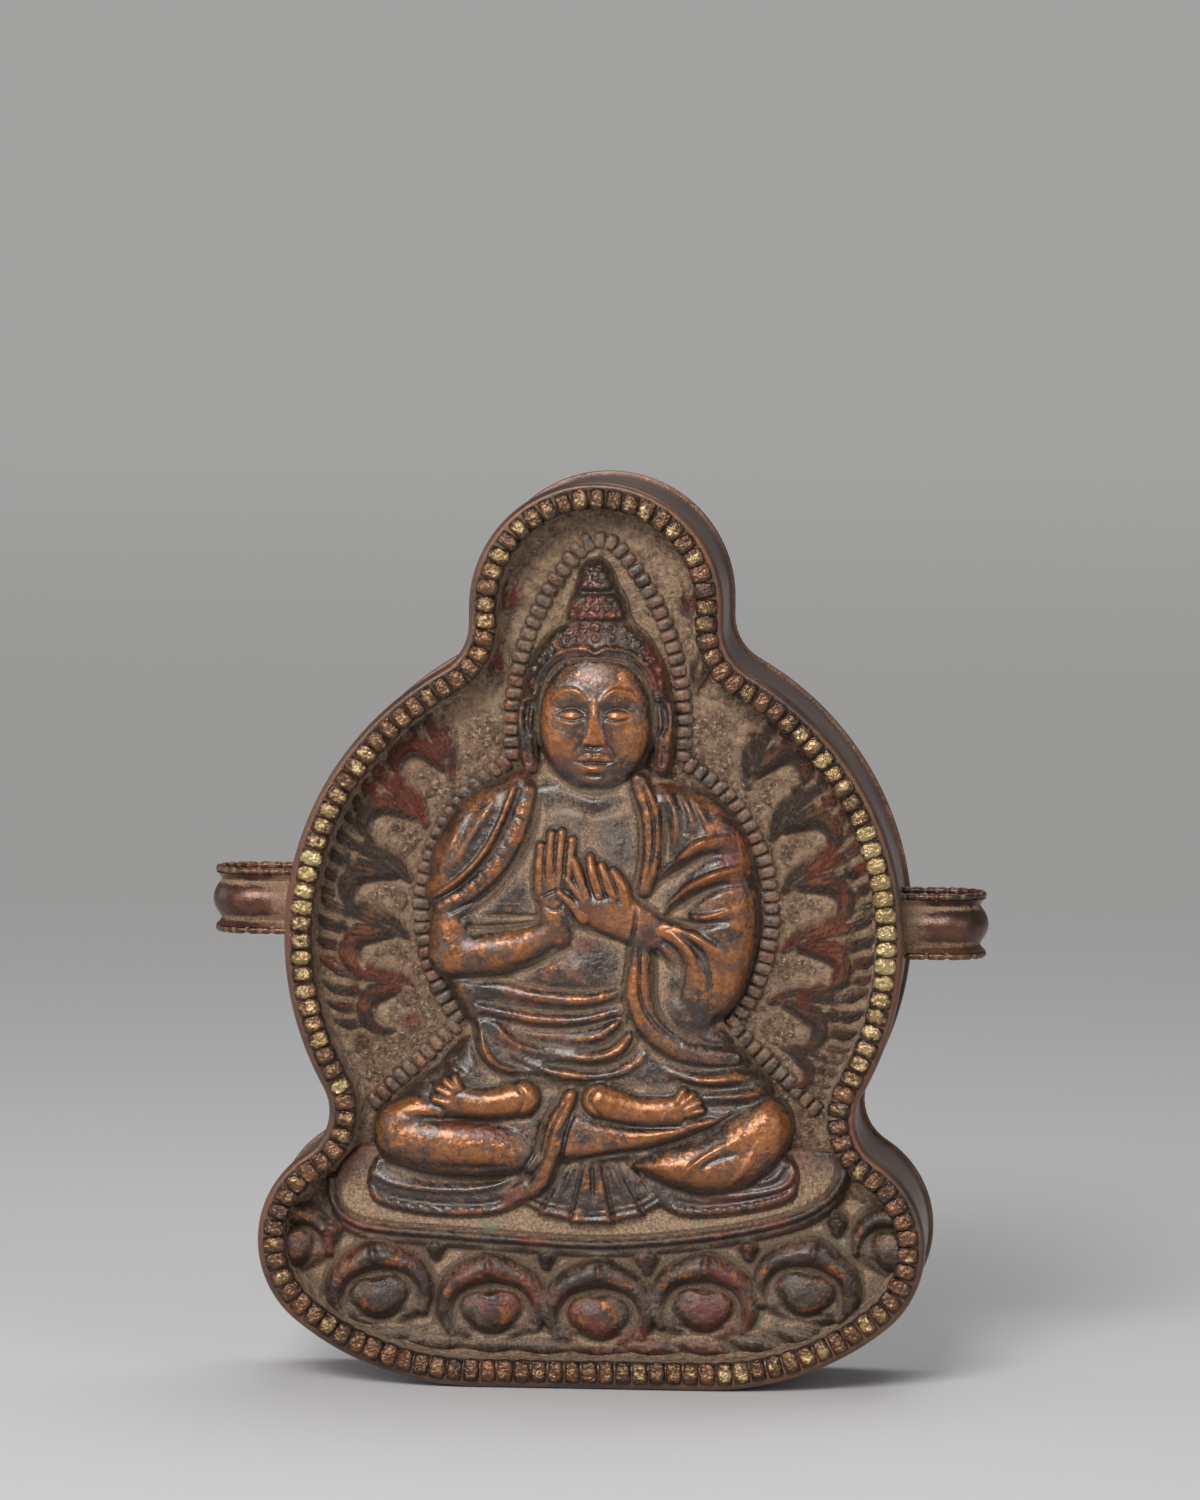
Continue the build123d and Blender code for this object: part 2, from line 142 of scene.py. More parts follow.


# raised work: bare in flakes on the high places, dark between, dust in the hollows; painted shade on faces that
# turn downwards and in the finest creases
def reliefCopper(name, look):
    f = Finish(name)
    fine, wide, height, upper = (f.worn(layer) for layer in ("fine", "wide", "height", "upper"))
    blotch, flake, grain = f.noise(6.0, 4, 0.6), f.noise(2.2, 9, 0.74), f.noise(0.3, 4, 0.7)
    stain, crumb = f.noise(3.6, 8, 0.7, shift=0.11), f.noise(1.2, 7, 0.72, shift=0.05)
    tarnish, bloom = f.noise(9.0, 4, 0.6, shift=0.07), f.noise(5.0, 7, 0.75, shift=0.13)
    dent, ripple = f.noise(3.0, 2, 0.4), f.noise(1.0, 3, 0.5)
    calm = 1.0 - height.band(0.80, 0.90) * 0.85  # the highest places are cleaner and smoother
    damp = calm * 0.6 + 0.4
    rub = (fine * look["fineWear"] + wide * look["wideWear"] + (height - look["level"]) * look["heightWear"]
           + blotch * 0.35 * calm + look["wear"])
    worn = (rub + flake * 0.95 * damp + grain * 0.2).band(0.16, 0.44)
    thin = (rub + stain * 0.9 * calm + grain * 0.15 - look["dark"]).band(-0.2, 0.25)
    red = (tarnish + crumb * 0.3 + look["red"]).band(0.2, 0.6)
    crevice = (wide * -1.0 + crumb * 0.35 + grain * 0.2 + look["dust"]).band(0.12, 0.95) * calm
    # line: the finest creases, darkened as painted shade
    line = (fine * -1.0 + crumb * 0.25).band(0.4, 1.0)
    veil = (crumb * 0.5 + stain * 0.3 - rub * 0.5 + grain * 0.2 + look["veil"]).band(0.1, 1.1) * calm
    dust = crevice.math("MAXIMUM", crevice * 0.94, veil * 0.5)
    green = (bloom * 0.8 + crevice * 0.3 + look["green"]).band(0.7, 0.95)
    # under: faces that turn downwards, darkened as painted shade
    under = ((0.0 - upper) + crumb * 0.25).band(0.15, 1.0) * calm
    metal = (crumb * 0.5 + 0.45).band(0.0, 1.0).over(patina["amber"], patina["bright"])
    soil = (grain * 0.6 + 0.5).band(0.0, 1.0).over(patina["dirt"], patina["pale"])
    colour = thin.over(patina["dark"], patina["brown"])
    colour = (red * 0.55).over(colour, patina["red"])
    colour = (worn * 0.9).over(colour, metal)
    colour = (grain.band(0.2, 0.8) * 0.5).over(colour, patina["dark"])
    # painted shade on the undersides
    colour = (under * look["under"]).over(colour, patina["shade"])
    colour = (dust * (1.0 - under * 0.6)).over(colour, soil)
    # painted shade in the finest creases
    colour = (line * 0.6).over(colour, patina["line"])
    colour = (green * 0.55).over(colour, patina["verdigris"])
    rough = look["rough"] + dust * 0.5 + crumb * 0.07
    bare = (0.2 + worn * 0.3) * (1.0 - dust)
    bump = (dent * 0.5 + ripple * 0.4 + grain * 0.08) * damp - worn * 0.25 + dust * (grain * 0.4 + 0.3)
    return f.close(colour, rough, bare, bump, 0.16, Specular_IOR_Level=0.65,
                   Coat_Weight=look["coat"] * (1.0 - dust), Coat_Roughness=0.24)


def sheetCopper(name, look):  # plain sheet: browned, rubbed along its edges, with dust and fine scratches
    f = Finish(name)
    edge, sunk = f.worn("edge"), f.worn("sunk")
    blotch, cloud = f.noise(9.0, 5, 0.6), f.noise(26.0, 3, 0.5, shift=0.03)
    fleck, grain, film = f.noise(1.4, 8, 0.72), f.noise(0.25, 3), f.noise(2.2, 6, 0.7)
    scratch = f.noise(0.5, 2, 0.5, look["scratchRun"]).band(0.75, 1.2)
    rub = edge * 0.6 + blotch * 0.3 + look["wear"]
    wear = (rub + fleck * 0.45).band(0.34, 0.6)
    warm = (edge * 0.4 + cloud * 0.35 + blotch * 0.4 + fleck * 0.25 + look["warm"]).band(-0.35, 0.6)
    dark = (fleck * 0.6 - blotch * 0.35 - rub * 0.4 + look["stain"]).band(0.15, 0.55)
    dust = (sunk * 0.9 + cloud * 0.2 + film * 0.35 + grain * 0.12 + look["dust"]).band(0.3, 0.9)
    soil = (grain * 0.5 + 0.5).band(0.0, 1.0).over(patina["dirt"], patina["dust"])
    colour = warm.over(look["dark"], look["brown"])
    colour = (cloud.band(0.0, 0.7) * look["red"]).over(colour, patina["red"])
    colour = (dark * 0.7).over(colour, look["dark"])
    colour = (wear * 0.8).over(colour, look["bright"])
    colour = (scratch * 0.3).over(colour, look["bright"])
    colour = (grain.band(0.0, 1.0) * 0.35).over(colour, look["dark"])
    colour = (dust * look["dustCover"]).over(colour, soil)
    rough = look["rough"] + dust * 0.4 - wear * 0.05 + fleck * 0.05 + cloud * 0.03 - scratch * 0.04
    metal = (look["metal"] + wear * 0.3) * (1.0 - dust * look["dustCover"])
    bump = blotch * look["hammer"] + fleck * 0.2 + grain * 0.12 - scratch * 0.12 + dust * 0.2
    return f.close(colour, rough, metal, bump, 0.08, Coat_Weight=0.1 - dust * 0.1, Coat_Roughness=0.25)


beadTones = {
    "dullGilt": tone(146, 120, 76), "gilt": tone(192, 174, 126), "speckle": tone(112, 86, 54),
    "dark": tone(50, 42, 36), "copper": tone(116, 78, 52), "fleck": tone(70, 50, 36), "dirt": tone(88, 67, 52),
}


def giltBead(name, tones):  # beads: dull gilt on their tops, copper where it is rubbed off, dirt between
    f = Finish(name)
    fine, gilt, tint = f.worn("fine"), f.worn("gilt"), f.worn("tint")
    fleck, grain, blotch = f.noise(0.8, 8, 0.75), f.noise(0.22, 3), f.noise(3.0, 5)
    top = (fine * 0.75 + fleck * 0.6 + blotch * 0.25 + gilt * 0.8 - 0.85).band(0.0, 0.4)
    copper = (fine * 0.6 + fleck * 0.5 + blotch * 0.3 + tint * 0.3 - 0.15).band(-0.1, 0.9)
    dirt = (fleck * 0.3 - fine * 0.9 + 0.1).band(0.0, 0.9)
    gold = tint.over(tones["dullGilt"], tones["gilt"])
    gold = (grain.band(-0.1, 0.7) * 0.55).over(gold, tones["speckle"])
    colour = copper.over(tones["dark"], tones["copper"])
    colour = (top * 0.92).over(colour, gold)
    colour = (fleck.band(0.3, 0.8) * 0.55).over(colour, tones["fleck"])
    colour = (dirt * 0.85).over(colour, tones["dirt"])
    rough = 0.3 + dirt * 0.5 + fleck * 0.06
    metal = 0.62 - dirt * 0.6
    bump = f.noise(0.7, 2, 0.45) + grain * 0.15 + blotch * 0.4
    return f.close(colour, rough, metal, bump, 0.12, Specular_IOR_Level=0.7)


# pairs are the dark and the pale end of one mixture
groundTones = {
    "dust": (tone(88, 67, 52), tone(170, 136, 107)), "lineDust": (tone(118, 92, 73), tone(184, 152, 122)),
    "packedDust": (tone(134, 107, 85), tone(212, 180, 147)),
    "settledDust": (tone(138, 110, 88), tone(198, 166, 134)),
    "leaf": (tone(66, 56, 51), tone(126, 52, 39)), "leafBrown": tone(106, 76, 58), "leafDark": tone(56, 46, 42),
    "rubbed": tone(158, 104, 68), "bare": tone(98, 72, 56), "grain": tone(54, 41, 32), "grit": tone(226, 198, 166),
    "shade": tone(46, 36, 30),
}


def groundDust(name, tones):  # the panel's ground: dust over punched copper, leaves rubbed red and dark; painted shade on faces that turn downwards, lighter dust with painted top light on faces that turn upwards, and packed dust that also paints light into the shadow of the rim and the head arch
    f = Finish(name)
    fine, wide, height, upper = (f.worn(layer) for layer in ("fine", "wide", "height", "upper"))
    blotch, fleck, cloud = f.noise(3.4, 6, 0.65), f.noise(1.3, 6, 0.72), f.noise(13.0, 3, shift=0.05)
    grain, grit = f.noise(0.95, 4, 0.72), f.noise(0.5, 3, 0.7, shift=0.09)
    proud = height * 1.6 + fine * 0.3 + wide * 0.3 + fleck * 0.25 + blotch * 0.2
    leaf = proud.band(0.42, 1.1)
    redder = (cloud * 0.7 + blotch * 0.45 + 0.12).band(-0.1, 0.45)
    rub = (proud + blotch * 0.5 + fleck * 0.3 - 0.3).band(1.3, 1.9)
    line = (fine * -0.9 - wide * 0.6 + fleck * 0.3 - 0.05).band(0.25, 1.0)
    bare = (fleck * 0.4 + blotch * 0.5 + cloud * 0.3 - wide * 0.3).band(0.2, 0.9)
    # settled: lighter dust on faces that turn upwards, which also paints top light
    settled = (upper + fleck * 0.3 - height * 0.2).band(0.2, 1.0)
    # packed: dust in the hollows; on the cove and in the painted bands near the rim and under the head arch it also
    # paints light into their shadow
    packed = ((0.0 - wide) + fleck * 0.25 - grain * 0.1).band(0.45, 1.05)
    # under: faces that turn downwards, darkened as painted shade
    under = ((0.0 - upper) + fleck * 0.25).band(0.1, 0.9)
    speckle = (grain * 0.5 + 0.5).band(0.0, 1.0)
    worked = redder.over(*tones["leaf"])
    worked = (blotch.band(0.15, 0.6) * 0.5).over(worked, tones["leafBrown"])
    worked = (fleck.band(0.1, 0.5) * 0.5).over(worked, tones["leafDark"])
    worked = (rub * 0.55).over(worked, tones["rubbed"])
    clods = (fleck * 0.4 + grain * 0.4 + 0.5).band(0.0, 1.0)
    colour = (fleck * 0.5 + grain * 0.5 + 0.5).band(0.0, 1.0).over(*tones["dust"])
    colour = (bare * 0.5).over(colour, tones["bare"])
    colour = (grain.band(-0.05, 0.5) * 0.85).over(colour, tones["grain"])
    colour = (grit.band(0.2, 0.7) * 0.7).over(colour, tones["grit"])
    colour = (leaf * 0.88).over(colour, worked)
    colour = (line * 0.7).over(colour, speckle.over(*tones["lineDust"]))
    colour = (packed * 0.68).over(colour, clods.over(*tones["packedDust"]))
    # lighter dust and painted top light on upward faces, then painted shade on downward faces
    colour = (settled * 0.6).over(colour, speckle.over(*tones["settledDust"]))
    colour = (under * 0.6).over(colour, tones["shade"])
    rough = 0.86 - leaf * (1.0 - line) * 0.5 + fleck * 0.04
    metal = leaf * 0.3 * (1.0 - line)
    punch = f.pits(0.9).band(0.05, 0.5)
    bump = fleck * 0.6 + grain * 0.8 + (punch * 0.5 + grit * 0.4) * (1.0 - leaf) + blotch * 0.4
    return f.close(colour, rough, metal, bump, 0.42, Specular_IOR_Level=0.7)


paperTones = {"pale": tone(206, 184, 140), "tan": tone(182, 152, 104), "fibre": tone(150, 120, 80),
              "edge": tone(136, 106, 70)}


def scrollPaper(name, tones):
    f = Finish(name)
    fibre, stain, grain = f.noise(0.35, 3, 0.6, (0.25, 1, 1)), f.noise(6.0, 4), f.noise(0.15, 2)
    edge = f.worn("edge")
    colour = (stain * 0.3 + 0.5).over(tones["pale"], tones["tan"])
    colour = (fibre.band(0.1, 0.7) * 0.35).over(colour, tones["fibre"])
    colour = (edge * 0.6 + stain * 0.15).band(0.2, 0.8).over(colour, tones["edge"])
    return f.close(colour, 0.85 + grain * 0.05, 0.0, fibre * 0.6 + grain * 0.4, 0.04, Specular_IOR_Level=0.2)


threadTones = {"red": tone(138, 40, 34), "faded": tone(164, 66, 48), "groove": tone(78, 22, 22)}


def redThread(name, tones):
    f = Finish(name)
    twist, fuzz, fade = f.worn("twist"), f.noise(0.12, 3), f.noise(3.0, 3)
    colour = (fade * 0.3 + 0.5).over(tones["red"], tones["faded"])
    # the grooves between the twists are darkened as painted shade
    colour = (twist.band(0.2, 0.9) * 0.6).over(colour, tones["groove"])
    return f.close(colour, 0.9 + fuzz * 0.05, 0.0, fuzz * 0.5 - twist * 0.6, 0.05, Specular_IOR_Level=0.15)


sheetLook = {"dark": tone(62, 50, 44), "brown": tone(110, 78, 60), "bright": tone(160, 110, 78),
             "scratchRun": (0.08, 1, 1), "stain": 0.0, "metal": 0.45, "wear": -0.15, "warm": 0.1, "dust": 0.0,
             "red": 0.3, "dustCover": 0.75, "rough": 0.36, "hammer": 0.25}
rimLook = dict(sheetLook, red=0.4)
wallLook = dict(sheetLook, brown=tone(128, 102, 86), dark=tone(82, 66, 57), bright=tone(164, 126, 100), red=0.15,
                wear=-0.25, hammer=0.35)
loopLook = dict(sheetLook, brown=tone(100, 68, 49), dark=tone(48, 38, 33), warm=0.05,
                dust=0.12, stain=0.22, rough=0.27)
coverLook = dict(sheetLook, warm=0.15, hammer=1.3, stain=0.1)
insideLook = dict(sheetLook, warm=0.2, dust=-0.1, wear=-0.2)
# under sets how strong the painted shade on downward faces is
figureLook = {"fineWear": 0.2, "wideWear": 0.4, "heightWear": 1.2, "level": 0.78, "wear": -0.12, "dark": 0.14,
              "red": 0.0, "dust": 0.1, "veil": 0.1, "green": -0.2, "coat": 0.34, "under": 0.6, "rough": 0.27}
lotusLook = dict(figureLook, wear=-0.52, dust=0.04, veil=0.22, dark=0.28, red=0.2, green=0.2, under=0.4, rough=0.38,
                 heightWear=0.6, level=0.8, coat=0.05)
ribLook = dict(figureLook, level=0.2, wear=-0.42, dark=0.2, red=0.2, dust=0.25, veil=0.5)
finishes = {
    "figure": reliefCopper("relief_copper", figureLook),
    "lotus": reliefCopper("relief_copper_seat", lotusLook),
    "ground": groundDust("ground_copper", groundTones),
    "ribs": reliefCopper("ground_copper_ribs", ribLook),
    "rim": sheetCopper("rim_copper", rimLook),
    "wall": sheetCopper("wall_copper", wallLook),
    "beads": giltBead("bead_brass", beadTones),
    "loops": sheetCopper("loop_copper", loopLook),
    "cover": sheetCopper("cover_copper", coverLook),
    "inside": sheetCopper("cover_copper_inside", insideLook),
    "paper": scrollPaper("scroll_paper", paperTones),
    "thread": redThread("thread_fabric", threadTones),
}
print("finishes made:", len(finishes))


# case outline from the front, mm: a head arch above a round body above a lobed base
caseOutline = {"bodyRadius": 37.5, "bodyHeight": 54.6, "headRadius": 15.4, "headStraight": 2.13, "neckFillet": 6.0,
               "waistFillet": 6.0, "lobeRadius": 12.6, "lobeHeight": 17.5, "baseHalfWidth": 40.5, "baseFlat": 14.0,
               "step": 0.8}


def aim(start, end):
    return math.atan2(end[1] - start[1], end[0] - start[0])


# the point at both reaches, on the right of the way between
def tangentCentre(first, firstReach, second, secondReach):
    gap = math.dist(first, second)
    along = (firstReach**2 - secondReach**2 + gap**2) / (2 * gap)
    across = math.sqrt(firstReach**2 - along**2)
    ux, uz = (second[0] - first[0]) / gap, (second[1] - first[1]) / gap
    return (first[0] + along * ux + across * uz, first[1] + along * uz - across * ux)


def walkArc(centre, radius, start, end, hollow, step):  # rows of x, z and the outward normal
    n = max(2, int(abs(end - start) * radius / step))
    a = np.linspace(start, end, n, endpoint=False)
    c, s = np.cos(a), np.sin(a)
    turn = -1 if hollow else 1
    return np.column_stack([centre[0] + radius * c, centre[1] + radius * s, turn * c, turn * s])


def walkLine(start, end, normal, step):
    t = np.linspace(0, 1, max(2, int(math.dist(start, end) / step)), endpoint=False)[:, None]
    rows = np.array(start) * (1 - t) + np.array(end) * t
    return np.column_stack([rows, np.tile(normal, (len(rows), 1))])


def outlineRows(o):
    lobe, body, step = (o["baseHalfWidth"] - o["lobeRadius"], o["lobeHeight"]), (0, o["bodyHeight"]), o["step"]
    run = lobe[0] - o["baseFlat"]
    baseRadius = (run**2 + lobe[1] ** 2 - o["lobeRadius"] ** 2) / (2 * (lobe[1] - o["lobeRadius"]))
    base = (o["baseFlat"], baseRadius)
    waist = tangentCentre(lobe, o["lobeRadius"] + o["waistFillet"], body, o["bodyRadius"] + o["waistFillet"])
    neckX = o["headRadius"] + o["neckFillet"]
    neck = (neckX, body[1] + math.sqrt((o["bodyRadius"] + o["neckFillet"]) ** 2 - neckX**2))
    head = (0, neck[1] + o["headStraight"])
    half = np.vstack([
        walkLine((0, 0), (o["baseFlat"], 0), (0, -1), step),
        walkArc(base, baseRadius, -math.pi / 2, aim(base, lobe), False, step),
        walkArc(lobe, o["lobeRadius"], aim(base, lobe), aim(lobe, waist), False, step),
        walkArc(waist, o["waistFillet"], aim(waist, lobe) + 2 * math.pi, aim(waist, body), True, step),
        walkArc(body, o["bodyRadius"], aim(body, waist), aim(body, neck), False, step),
        walkArc(neck, o["neckFillet"], aim(neck, body), -math.pi, True, step),
        walkLine((o["headRadius"], neck[1]), (o["headRadius"], head[1]), (1, 0), step),
        walkArc(head, o["headRadius"], 0, math.pi / 2, False, step),
    ])
    top = np.array([[0, head[1] + o["headRadius"], 0, 1]])
    return np.vstack([half, top, half[:0:-1] * (-1, 1, -1, 1)])


stations = outlineRows(caseOutline)


def outline(inset):  # the case outline moved inwards: rows of x and z in mm
    return stations[:, :2] - inset * stations[:, 2:]


def within(points, x, z):  # which places lie inside a closed line
    inside = np.zeros(x.shape, bool)
    for a, b in zip(points, np.roll(points, -1, axis=0)):
        if a[1] != b[1]:
            inside ^= ((a[1] > z) != (b[1] > z)) & (x < a[0] + (z - a[1]) * (b[0] - a[0]) / (b[1] - a[1]))
    return inside


def evenSteps(points, pitch, closed):  # rows of x, z and the way along, evenly spaced on a line
    line = np.vstack([points, points[:1]]) if closed else np.asarray(points)
    run = np.concatenate([[0], np.cumsum(np.hypot(*np.diff(line, axis=0).T))])
    n = int(round(run[-1] / pitch))
    s = np.arange(n if closed else n + 1) * run[-1] / n
    x, z = (np.interp(s, run, line[:, k]) for k in (0, 1))
    ahead, behind = (np.clip(s + d, 0, run[-1]) for d in (0.3, -0.3))
    dx, dz = (np.interp(ahead, run, line[:, k]) - np.interp(behind, run, line[:, k]) for k in (0, 1))
    return np.column_stack([x, z, np.arctan2(dz, dx)])


def smoothPath(points, count=10):  # Catmull-Rom through rows of (x, z, ...), count steps a span
    p = np.array([list(q) for q in points], float)
    if len(p) < 2:
        return p
    p = np.vstack([2 * p[0] - p[1], p, 2 * p[-1] - p[-2]])
    t = np.linspace(0, 1, count, endpoint=False)[:, None]
    rows = []
    for a, b, c, d in zip(p[:-3], p[1:-2], p[2:-1], p[3:]):
        bend, twist = 2 * a - 5 * b + 4 * c - d, 3 * b - a - 3 * c + d
        rows.append(0.5 * (2 * b + (c - a) * t + bend * t**2 + twist * t**3))
    return np.vstack(rows + [p[-2][None]])


def ease(a, low, high):  # 0 below low, 1 above high
    t = np.clip((a - low) / (high - low), 0, 1)
    return t * t * (3 - 2 * t)


def blur(a, cells):  # three box passes, close to a Gaussian
    for axis in (0, 1):
        for _ in range(3):
            n = max(1, int(round(cells)))
            pad = [(0, 0), (0, 0)]
            pad[axis] = (n + 1, n)
            c = np.cumsum(np.pad(a, pad, mode="edge"), axis=axis)
            m = a.shape[axis]
            top = np.take(c, range(2 * n + 1, 2 * n + 1 + m), axis=axis)
            low = np.take(c, range(0, m), axis=axis)
            a = (top - low) / (2 * n + 1)
    return a


def toSegment(x, z, a, b):  # the share of the way from a to b that lies nearest, and the offsets from there
    dx, dz = b[0] - a[0], b[1] - a[1]
    t = np.clip(((x - a[0]) * dx + (z - a[1]) * dz) / (dx * dx + dz * dz + 1e-12), 0, 1)
    return t, x - a[0] - t * dx, z - a[1] - t * dz


class Relief:  # a raised panel: heights in mm over an X-Z grid in mm
    def __init__(self, low, high, pitch):
        self.pitch = pitch
        self.low = low
        nx, nz = (int(round((high[i] - low[i]) / pitch)) + 1 for i in (0, 1))
        self.x, self.z = np.meshgrid(low[0] + np.arange(nx) * pitch, low[1] + np.arange(nz) * pitch)
        self.h = np.full(self.x.shape, -1.0)
        self.settled = np.zeros(self.x.shape)  # more dust than the shape alone would hold; on the ground panel it also paints light into the shadow of the rim and the head arch

    def window(self, path, reach):
        i0, j0 = ((path[:, k].min() - reach - self.low[k]) / self.pitch for k in (0, 1))
        i1, j1 = ((path[:, k].max() + reach - self.low[k]) / self.pitch for k in (0, 1))
        rows = slice(max(0, int(j0)), max(0, int(j1) + 2))
        return rows, slice(max(0, int(i0)), max(0, int(i1) + 2))

    def follow(self, points):  # distance to a path, its rows' values there, and the signed side
        path = smoothPath(points)
        w = self.window(path, path[:, 2].max() * 3.0)
        x, z = self.x[w], self.z[w]
        best, side = np.full(x.shape, 1e9), np.zeros(x.shape)
        values = np.zeros(x.shape + (path.shape[1] - 2,))
        for a, b in zip(path[:-1], path[1:]):
            t, ex, ez = toSegment(x, z, a, b)
            d = ex * ex + ez * ez
            near = d < best
            best = np.where(near, d, best)
            side = np.where(near, np.sign((b[0] - a[0]) * ez - (b[1] - a[1]) * ex), side)
            values = np.where(near[..., None], a[2:] + (b[2:] - a[2:]) * t[..., None], values)
        return w, np.sqrt(best), values, side

    def join(self, w, form, soft):  # smooth union with what is there
        here = self.h[w]
        mix = np.clip(0.5 + 0.5 * (form - here) / soft, 0, 1)
        self.h[w] = here * (1 - mix) + form * mix + soft * mix * (1 - mix)

    # a rounded form from base up; away is 1 at its edge
    def swell(self, w, away, width, height, base, power, soft):
        crown = np.maximum(0, 1 - away**power) ** (1 / power)
        beyond = base - 6 * width * (away - 1) - 0.01
        self.join(w, np.where(away < 1, base + (height - base) * crown, beyond), soft)

    def limb(self, points, soft=0.3, power=2.0, base=0.0):  # a rounded form along a path
        w, d, v, side = self.follow(points)
        self.swell(w, d / np.maximum(v[..., 0], 1e-6), v[..., 0], v[..., 1], base, power, soft)

    # an added ridge, where more than hold is there; lean sharpens one side
    def fold(self, points, lean=0.0, sign=1.0, hold=0.0):
        w, d, v, side = self.follow(points)
        width = np.maximum(v[..., 0], 1e-6) * (1 - lean * side)
        ridge = v[..., 1] * np.exp(-((d / width) ** 2))
        self.h[w] += sign * ridge * (self.h[w] > hold)

    def crease(self, points, lean=0.0, hold=0.0):
        self.fold(points, lean, -1.0, hold)

    def spot(self, place, turn):  # a window around (x, z, rx, rz), and the share of the way to its edge
        x, z, rx, rz = place
        w = self.window(np.array([[x, z]]), max(rx, rz) * 1.8)
        c, s = np.cos(np.radians(turn)), np.sin(np.radians(turn))
        u = ((self.x[w] - x) * c + (self.z[w] - z) * s) / rx
        q = (-(self.x[w] - x) * s + (self.z[w] - z) * c) / rz
        return w, np.sqrt(u * u + q * q)

    def dome(self, place, height, power=2.0, soft=0.3, turn=0.0, base=0.0):
        w, e = self.spot(place, turn)
        self.swell(w, e, min(place[2:]), height, base, power, soft)

    def bump(self, place, height, turn=0.0, hold=0.0):
        w, e = self.spot(place, turn)
        self.h[w] += height * np.exp(-1.6 * e**2) * (self.h[w] > hold)

    def curl(self, place, height, turn=0.0):  # a lock of hair wound round its middle
        w, e = self.spot(place, 0)
        around = np.arctan2(self.z[w] - place[1], self.x[w] - place[0]) - np.radians(turn)
        wound = 0.5 + 0.5 * np.cos(2 * np.pi * (e * 1.55 - around / (2 * np.pi)))
        lock = np.clip(1.05 - e**2, 0, 1) ** 0.6 - 0.55 * wound * (e < 0.95)
        self.h[w] += height * lock * (self.h[w] > 0.5)

    # inside a closed outline, rounded over its edge
    def area(self, points, height, edge, soft=0.3, smooth=True, base=0.0):
        path = list(points) + [points[0]]
        path = smoothPath(path) if smooth else np.array(path, float)
        w = self.window(path, edge)
        x, z = self.x[w], self.z[w]
        best = np.full(x.shape, 1e9)
        for a, b in zip(path[:-1], path[1:]):
            t, ex, ez = toSegment(x, z, a, b)
            best = np.minimum(best, ex**2 + ez**2)
        depth = np.sqrt(best)
        over = np.sqrt(np.maximum(0, 1 - (1 - np.clip(depth / edge, 0, 1)) ** 2))
        form = np.where(within(path, x, z), base + (height - base) * over, base - 6 * depth - 0.01)
        self.join(w, form, soft)


def strokeMaker(tool):  # a stroke is kept as (tool, points, options) until it is drawn
    return lambda *points, **options: (tool, points, options)


area, limb, fold, crease, dome, bump = map(strokeMaker, ("area", "limb", "fold", "crease", "dome", "bump"))


# strokes moved by put: wide scales their widths, high the lines' heights and swell the spots' heights
def draw(relief, strokes, put, wide=1.0, high=1.0, swell=1.0, turn=0.0):
    for tool, points, options in strokes:
        if tool in ("dome", "bump"):
            moved = put(points) + tuple(v * wide for v in points[2:])
            options = dict(options, height=options["height"] * swell, turn=options.get("turn", 0) + turn)
        else:
            moved = [put(p) + tuple(v * s for v, s in zip(p[2:], (wide, high))) for p in points]
        getattr(relief, tool)(moved, **options)


def turner(x, z, turn, size, side=1):  # moves a unit's points to (x, z), turned and scaled
    c, s = np.cos(np.radians(turn)) * size, np.sin(np.radians(turn)) * size
    return lambda p: (x + side * (p[0] * c - p[1] * s), z + p[0] * s + p[1] * c)


